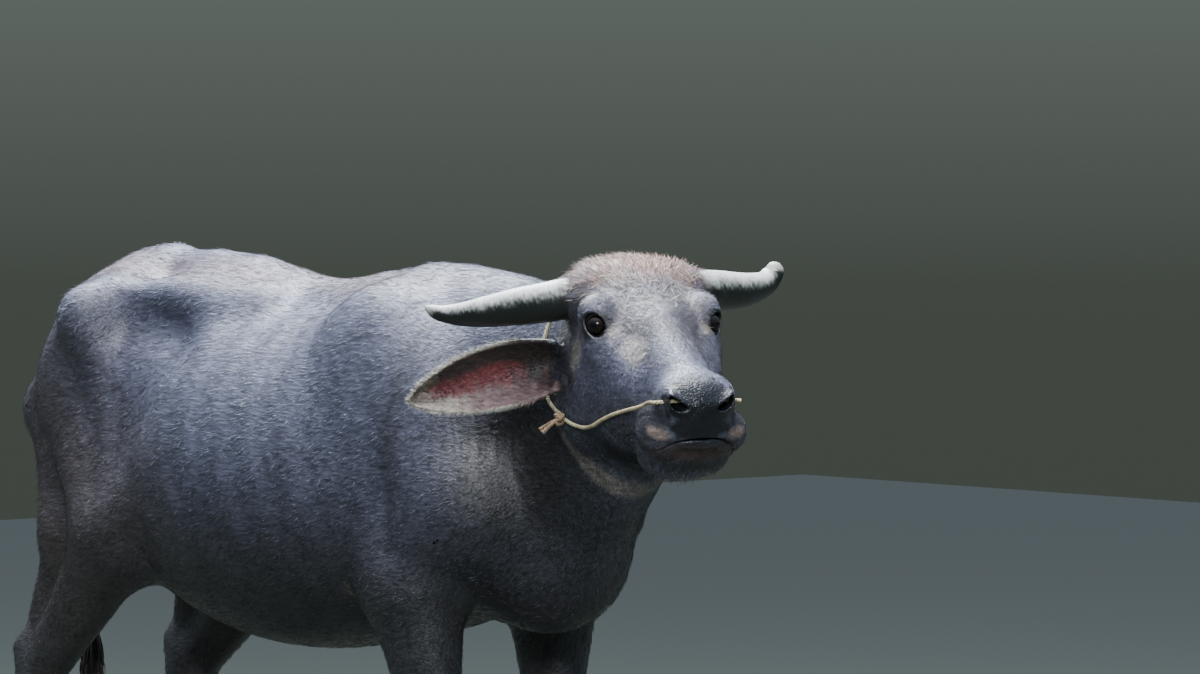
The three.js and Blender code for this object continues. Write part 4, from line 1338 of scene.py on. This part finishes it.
def strands(line, radius, flare=0.0):
    """Three strands twisted round a line, which open by flare towards its end."""
    _, side, up = carried_frames(line)
    run = np.concatenate([[0], np.cumsum(np.linalg.norm(np.diff(line, axis=0), axis=1))])
    spread = 1 + flare * (run / run[-1]) ** 3
    shapes = []
    for k in range(3):
        turn = 2 * np.pi * (run / ROPE_PITCH + k / 3)
        out = side * np.cos(turn)[:, None] + up * np.sin(turn)[:, None]
        middle = line + out * (radius * 0.52 * spread)[:, None]
        _, a, b = carried_frames(middle)
        shapes.append(swept(middle, a * radius * 0.55, b * radius * 0.55, 8))
    return shapes


for name, half, hangs in (("nose", NOSE_ROPE, True), ("poll", POLL_ROPE, False)):
    twisted = gathered(strands(halter_line(half, hangs), ROPE_RADIUS))
    piece(mesh_object(f"twisted_rope_{name}", *twisted), "rope", ROPE, f"{name}_rope")
for s, side in SIDES:
    middle = laid(np.array([head_point((KNOT[0], KNOT[1] * s, KNOT[2]))]), KNOT_RADIUS + 1.5)[0]
    t = np.linspace(0, 2 * np.pi, 150)
    loops = (np.sin(t) + 2 * np.sin(2 * t), -np.sin(3 * t) * 1.2, np.cos(t) - 2 * np.cos(2 * t))
    trefoil = np.stack(loops, 1)
    shapes = strands(middle + trefoil * (3.1, 2.6, 2.8), ROPE_RADIUS * 0.95)
    for back, out, length in LOOSE_ENDS:
        way = unit(np.array((-back, s * out, -1.0)))
        u = np.linspace(0, 1, 30)[:, None]
        shapes += strands(middle + way * length * u + np.array((0, 0, -5.0)) * u * u, ROPE_RADIUS * 0.85, 0.9)
    piece(mesh_object(f"tied_knot_{side}", *gathered(shapes)), "rope", KNOT_ROPE, f"knot_{side}")


# Hair
def locks(spine, widths, across, up, sides=3):
    """Closed tapering prisms: spine is (count, rings, 3) with the tips, and widths (count, rings - 1)."""
    count, rings = spine.shape[:2]
    turn = 2 * np.pi * (np.arange(sides) + 0.25) / sides
    section = (across[:, None] * np.cos(turn)[:, None] + up[:, None] * np.sin(turn)[:, None] * 0.6)
    body = spine[:, :-1, None] + section[:, None] * widths[:, :, None, None]
    points = np.concatenate([body.reshape(count, -1, 3), spine[:, -1:]], 1)
    each = points.shape[1]
    points = points.reshape(-1, 3)
    quads = []
    for r in range(rings - 2):
        for j in range(sides):
            k = (j + 1) % sides
            quads.append((r * sides + j, r * sides + k, (r + 1) * sides + k, (r + 1) * sides + j))
    tris = [((rings - 2) * sides + j, (rings - 2) * sides + (j + 1) % sides, each - 1) for j in range(sides)]
    tris += [(0, j + 1, j) for j in range(1, sides - 1)]
    start = (np.arange(count) * each)[:, None, None]
    quads = (np.array(quads) + start).reshape(-1, 4)
    tris = (np.array(tris) + start).reshape(-1, 3)
    flip = np.einsum("ij,ij->i", np.cross(across, up), spine[:, 1] - spine[:, 0]) < 0
    many = len(quads) // count
    quads = np.where(np.repeat(flip, many)[:, None], quads[:, ::-1], quads)
    many = len(tris) // count
    tris = np.where(np.repeat(flip, many)[:, None], tris[:, ::-1], tris)
    return points, quads, tris


def turned_up(lie, normal):
    """The direction along the skin that is nearest to lie."""
    return unit(lie - normal * np.einsum("ij,ij->i", lie, normal)[:, None])


rng = np.random.default_rng(RANDOM_SEED)

SWITCH_LOCKS = 300
SWITCH_PLACE = (-940.0, -12.0)
SWITCH_TOP = 520.0
SWITCH_END = 338.0
SWITCH_RINGS = 9


def switch():
    """Tail switch: coarse locks round the end of the tail."""
    share = np.sort(rng.random(SWITCH_LOCKS))
    turn = rng.random(SWITCH_LOCKS) * 2 * np.pi
    high = SWITCH_TOP - 130 * share ** 0.8
    out = np.stack([np.cos(turn), np.sin(turn), np.zeros(SWITCH_LOCKS)], 1)
    thick = np.interp(high, (390, 455, 520), (3, 6, 9))
    middle = np.stack([np.full(SWITCH_LOCKS, v) for v in SWITCH_PLACE] + [high], 1)
    root = middle + out * thick[:, None] * 0.7
    end = high - 70 - 60 * rng.random(SWITCH_LOCKS)
    end = np.maximum(end, SWITCH_END + 26 * rng.random(SWITCH_LOCKS))
    u = np.linspace(0, 1, SWITCH_RINGS)[None, :, None]
    swell = (9 + 7 * rng.random(SWITCH_LOCKS))[:, None, None]
    spine = root[:, None] + out[:, None] * swell * np.sin(np.pi * u * 0.86) ** 0.8
    spine = spine + np.array((4.0, -2.0, 0.0)) * u * u
    spine[..., 2] = high[:, None] + (end - high)[:, None] * u[..., 0]
    wave = rng.random((SWITCH_LOCKS, 1, 2)) * 6
    spine[..., :2] += 1.6 * np.sin(wave + u * 7.0)
    taper = 2.3 * (1 - u[0, :-1, 0] ** 2.2) * (0.6 + 0.7 * rng.random((SWITCH_LOCKS, 1)))
    side = unit(np.cross(out, (0, 0, 1.0)))
    shape = mesh_object("switch_locks", *locks(spine, taper, side, out, 4))
    piece(shape, "switch_hair", SWITCH, "tail_switch")


switch()

WHORL = np.array((34.0, 0.0, 40.0))
TRUNK_HAIRS = 2.6
HEAD_HAIRS = 10.5
LEG_HAIRS = 1.6
LEG_TOP = 620.0
POLL_HAIR = ((-95, 0, 34), (75, 110, 52), 0.4)
STRAW_PLACE = ((-80, 0, 34), (80, 105, 52), 0.4)
SWIRL = ((83, -54, -2), (27, 21, 25), 0.35)
CHIN = ((196, 6, -138), (46, 52, 30), 0.4)
SCRUFF = (((-108, 86, -60), (36, 34, 70), 0.4), ((-108, -86, -60), (36, 34, 70), 0.4))


def coat_style(p, n):
    """Tufts a square centimetre, their length, half width, slope off the skin, lie and share of pale ones,
    which are partly painted glints.
    """
    q = in_head(p)
    on_head = eased((q[:, 0] + 230) / 60) * (np.linalg.norm(q, axis=1) < 420)
    on_leg = eased((LEG_TOP - p[:, 2]) / 120) * (1 - on_head)
    density = TRUNK_HAIRS + (HEAD_HAIRS - TRUNK_HAIRS) * on_head + (LEG_HAIRS - TRUNK_HAIRS) * on_leg
    muzzle = eased((q[:, 0] - 120) / 60) * on_head
    crown = blot(q, *POLL_HAIR) * on_head
    chin = blot(q, *CHIN)
    scruff = blot(q, *SCRUFF[0]) + blot(q, *SCRUFF[1])
    length = 19.0 - 9.0 * on_head - 5.0 * on_leg - 3.0 * muzzle
    length = length + 14 * crown + 11 * chin + 12 * scruff
    width = 0.48 - 0.12 * on_head - 0.06 * muzzle
    slope = 0.075 + 0.02 * on_head + 0.05 * crown + 0.26 * chin + 0.12 * scruff
    density = density * (1 - 0.6 * chin)
    # Painted glints: more pale tufts high on the body, fewer low down and on the legs; the crown, swirl and
    # chin have pale hair
    pale = 0.17 + 0.08 * eased((p[:, 2] - 950) / 150) - 0.1 * on_leg - 0.1 * eased((750 - p[:, 2]) / 150)
    pale = pale + 0.16 * crown + 0.6 * blot(q, *SWIRL) + 0.3 * chin
    lie = np.tile(np.array((-1.0, 0, -0.62)), (len(p), 1))
    lie = mixed(lie, np.array((-1.0, 0, -0.1)), eased((-n[:, 2] - 0.3) / 0.5))
    lie = mixed(lie, np.array((-0.25, 0, -1.0)), on_leg)
    face = (q - WHORL) @ HEAD_AXES.astype(float).T
    lie = np.where((on_head > 0.5)[:, None], unit(face), lie)
    for s, _ in SIDES:
        # Hair that runs out over the foot of each horn
        stem = head_point(HORN_LINES[s][1]) - head_point(HORN_LINES[s][0])
        collar = blot(q, (-100, 100 * s, 0), (46, 22, 46), 0.3)
        lie = np.where((collar > 0.4)[:, None], unit(stem), lie)
        length = length + 7 * collar
        # Short hair on the ears, and a fringe at their rims and tips
        leaf = EARS[s]
        u, x, near, inside = on_ear(p, s)
        fringe = near & (((np.abs(x) > EAR_RIM) & (u > 0.2)) | (u > 0.96))
        outward = leaf.up * np.sign(x)[:, None] * 0.8 + leaf.out
        lie = np.where(near[:, None], np.where(fringe[:, None], outward, leaf.out), lie)
        width = np.where(near, 0.3, width)
        length = np.where(near, np.where(fringe, 8.5, np.where(inside, 12.0, 8.0)), length)
        slope = np.where(near, np.where(fringe, 0.35, np.where(inside, 0.12, 0.08)), slope)
        density = np.where(near, np.where(fringe, 26.0, np.where(inside, 7.0, 8.0)), density)
        pale = np.where(near, np.where(fringe, 0.6, np.where(inside, 0.2, 0.12)), pale)
    return density, length, width, slope, lie, np.clip(pale, 0, 1)


def chart(p):
    """Place of a point on the skin's unwrap: rolled out round the trunk, the head, each leg and the tail."""
    q = in_head(p)
    spot = np.empty((len(p), 2))
    roll = np.arctan2(p[:, 1], p[:, 2] - 850) / (2 * np.pi) + 0.5
    spot[:, 0] = 0.01 + 0.98 * roll
    spot[:, 1] = 0.44 + 0.54 * np.clip((p[:, 0] + 1000) / 1650, 0, 1)
    head = (q[:, 0] > -190) & (np.linalg.norm(q, axis=1) < 420)
    roll = np.arctan2(q[:, 1], q[:, 2] + 50) / (2 * np.pi) + 0.5
    spot[head, 0] = 0.01 + 0.44 * roll[head]
    spot[head, 1] = 0.01 + 0.40 * np.clip((q[head, 0] + 190) / 480, 0, 1)
    for column, (middle, s) in enumerate(((60, 1), (60, -1), (-880, 1), (-880, -1))):
        leg = (p[:, 2] < LEG_TOP) & (p[:, 1] * s > 0) & (np.abs(p[:, 0] - middle) < 330) & ~head
        roll = np.arctan2(p[:, 1] - 140 * s, p[:, 0] - middle) / (2 * np.pi) + 0.5
        spot[leg, 0] = 0.47 + 0.11 * column + 0.10 * roll[leg]
        spot[leg, 1] = 0.01 + 0.40 * np.clip(p[leg, 2] / LEG_TOP, 0, 1)
    tail = (p[:, 0] < -905) & (np.abs(p[:, 1]) < 42) & (p[:, 2] < 1000)
    roll = np.arctan2(p[:, 1], p[:, 0] + 940) / (2 * np.pi) + 0.5
    spot[tail, 0] = 0.92 + 0.03 * roll[tail]
    spot[tail, 1] = 0.01 + 0.40 * np.clip((p[tail, 2] - 440) / 560, 0, 1)
    for column, (s, _) in enumerate(SIDES):
        u, x, near, inside = on_ear(p, s)
        spot[near, 0] = 0.96 + 0.018 * column + 0.008 * (x[near] * 0.5 + 0.5) + 0.009 * inside[near]
        spot[near, 1] = 0.01 + 0.40 * u[near]
    return spot


PATCH = 0.003
COAT_TRIANGLES = 180000
TUFT_TRIANGLES = 10
WET_LIMIT = 0.15
STRAW_SHARE = 0.955
# Each tuft darker at its root as painted shade, and lighter at its tip as a painted glint
ROOT_SHADE_TIP_GLINT = np.array([0.85] * 3 + [1.0] * 3 + [1.2])
PALE_AND_GLINT_LIFT = np.array((0.034, 0.034, 0.038))


def rooted():
    """Roots of the tufts and the skin's normals there, drawn at random as close as the coat's style says."""
    a, b, c, d = (skin_points[skin_quads[:, k]] for k in range(4))
    area = 0.5 * np.linalg.norm(np.cross(c - a, d - b), axis=1) / 100
    face_normal = unit(skin_normals[skin_quads].sum(1))
    density = coat_style((a + b + c + d) / 4, face_normal)[0]
    wanted = area * density * (skin_wet[skin_quads].max(1) < WET_LIMIT)
    faces = np.searchsorted(np.cumsum(wanted), rng.random(int(wanted.sum())) * wanted.sum())
    faces = np.sort(faces)
    u, v = rng.random((2, len(faces), 1))
    root = (a[faces] * (1 - u) + b[faces] * u) * (1 - v) + (d[faces] * (1 - u) + c[faces] * u) * v
    return root, face_normal[faces]


def grow_coat():
    """The whole coat, in pieces: each tuft is a closed prism of seven points that lies along the skin."""
    root, normal = rooted()
    _, length, width, slope, lie, pale = coat_style(root, normal)
    vary = rng.random((len(root), 6))
    along = turned_up(lie + 0.28 * rng.normal(size=root.shape), normal)
    length = length * (0.6 + 0.8 * vary[:, 0])
    slope = slope * (0.4 + 1.2 * vary[:, 1])
    # Cream straws stand every way on the poll and in the swirl on the face
    q = in_head(root)
    crown = blot(q, *STRAW_PLACE)
    straw = (vary[:, 4] > STRAW_SHARE) & ((crown > 0.3) | (blot(q, *SWIRL) > 0.4))
    length = np.where(straw, 17 + 12 * vary[:, 0], length)[:, None]
    width = np.where(straw, 0.75, width)
    along = np.where(straw[:, None], turned_up(rng.normal(size=root.shape), normal), along)
    across = np.cross(normal, along)
    rise = normal * slope[:, None]
    bend = across * (0.3 * (vary[:, 2:3] - 0.5))
    middle = root + (along + rise * 1.1) * 0.5 * length
    tip = root + (along + rise * 0.8 + bend) * length
    spine = np.stack([root - normal * 0.5, middle, tip], 1)
    widths = np.stack([width * 0.8, width * 0.75], 1) * (0.7 + 0.6 * vary[:, 3:4])
    # Colours: the skin's own, some tufts paler, as pale hair on the crown, swirl, chin and ear rims and as
    # painted glints on the body, and the straws cream
    tone = (0.72 + 0.5 * vary[:, 5])[:, None]
    look = hide_look(root)[0] * tone
    pale_and_glint = np.minimum(look * (2.1 + 0.4 * crown[:, None]) + (1 - crown[:, None]) * PALE_AND_GLINT_LIFT, 0.6)
    look = np.where((vary[:, 4] < pale)[:, None], pale_and_glint, look)
    look = np.where(straw[:, None], CREAM * tone, look)
    # Each tuft's own patch on the map, at its root's place
    patch = [(PATCH * k / 2, PATCH * r / 2) for r in range(2) for k in range(3)] + [(PATCH / 2, PATCH)]
    spots = chart(root)[:, None] + np.array(patch)
    most = COAT_TRIANGLES // TUFT_TRIANGLES
    for part, first in enumerate(range(0, len(root), most)):
        rows = slice(first, first + most)
        points, quads, tris = locks(spine[rows], widths[rows], across[rows], normal[rows])
        coat = mesh_object(f"coat_{part + 1}", points, quads, tris)
        paint(coat, "hide_colour", (look[rows][:, None] * ROOT_SHADE_TIP_GLINT[:, None]).reshape(-1, 3))
        corners = np.concatenate([quads.ravel(), tris.ravel()])
        layer = coat.data.uv_layers.new(name="OFBake")
        layer.data.foreach_set("uv", spots[rows].reshape(-1, 2)[corners].astype(np.float32).ravel())
        piece(coat, "hide", COAT)


grow_coat()

# Floor and light
FLOOR_HALF = 9000
ground = -FRAME_SHIFT[2]
FLOOR_CORNERS = [(FLOOR_HALF * x, FLOOR_HALF * y, ground) for x, y in ((-1, -1), (1, -1), (1, 1), (-1, 1))]
floor = mesh_object("floor", FLOOR_CORNERS, [(0, 1, 2, 3)])
floor_look = Look("floor")
floor_look.plain("Base Color", (0.028, 0.034, 0.024, 1))
floor_look.plain("Roughness", 0.8)
floor.data.materials.append(floor_look.material)


def area_light(name, place, aim, size, power, colour):
    data = bpy.data.lights.new(name, "AREA")
    data.shape = "DISK"
    data.size = size
    data.energy = power
    data.color = colour
    lamp = bpy.data.objects.new(name, data)
    bpy.context.scene.collection.objects.link(lamp)
    lamp.location = place
    lamp.rotation_euler = (Vector(aim) - Vector(place)).to_track_quat("-Z", "Y").to_euler()


area_light("key", (0.9, -0.5, 4.8), (0, 0, 0.8), 2.0, 330, (1.0, 0.99, 0.97))
area_light("rim", (-1.8, 0.9, 4.4), (-0.3, 0, 0.9), 2.4, 640, (0.84, 0.92, 1.0))
area_light("fill", (4.6, -4.4, 3.0), (0, 0, 0.8), 1.3, 270, (0.90, 0.95, 1.0))

# Sky: bright overhead, dim at the horizon and dark below, so that the wet nose has something to reflect
SKY_STOPS = (
    (0.0, (0.03, 0.035, 0.03)),
    (0.48, (0.06, 0.07, 0.06)),
    (0.53, (0.20, 0.24, 0.22)),
    (0.72, (0.36, 0.44, 0.54)),
    (0.86, (0.9, 1.05, 1.35)),
    (1.0, (2.3, 2.6, 3.2)),
)
world = bpy.data.worlds.new("studio")
world.use_nodes = True
tree = world.node_tree
way = tree.nodes.new("ShaderNodeTexCoord").outputs["Generated"]
axes = tree.nodes.new("ShaderNodeSeparateXYZ")
rise = tree.nodes.new("ShaderNodeMapRange")
rise.inputs["From Min"].default_value = -1.0
ramp = tree.nodes.new("ShaderNodeValToRGB")
stops = ramp.color_ramp.elements
stops.remove(stops[1])
stops[0].color = (*SKY_STOPS[0][1], 1)
for position, colour in SKY_STOPS[1:]:
    stops.new(position).color = (*colour, 1)
tree.links.new(way, axes.inputs[0])
tree.links.new(axes.outputs["Z"], rise.inputs["Value"])
tree.links.new(rise.outputs[0], ramp.inputs[0])
tree.links.new(ramp.outputs[0], tree.nodes["Background"].inputs["Color"])
bpy.context.scene.world = world
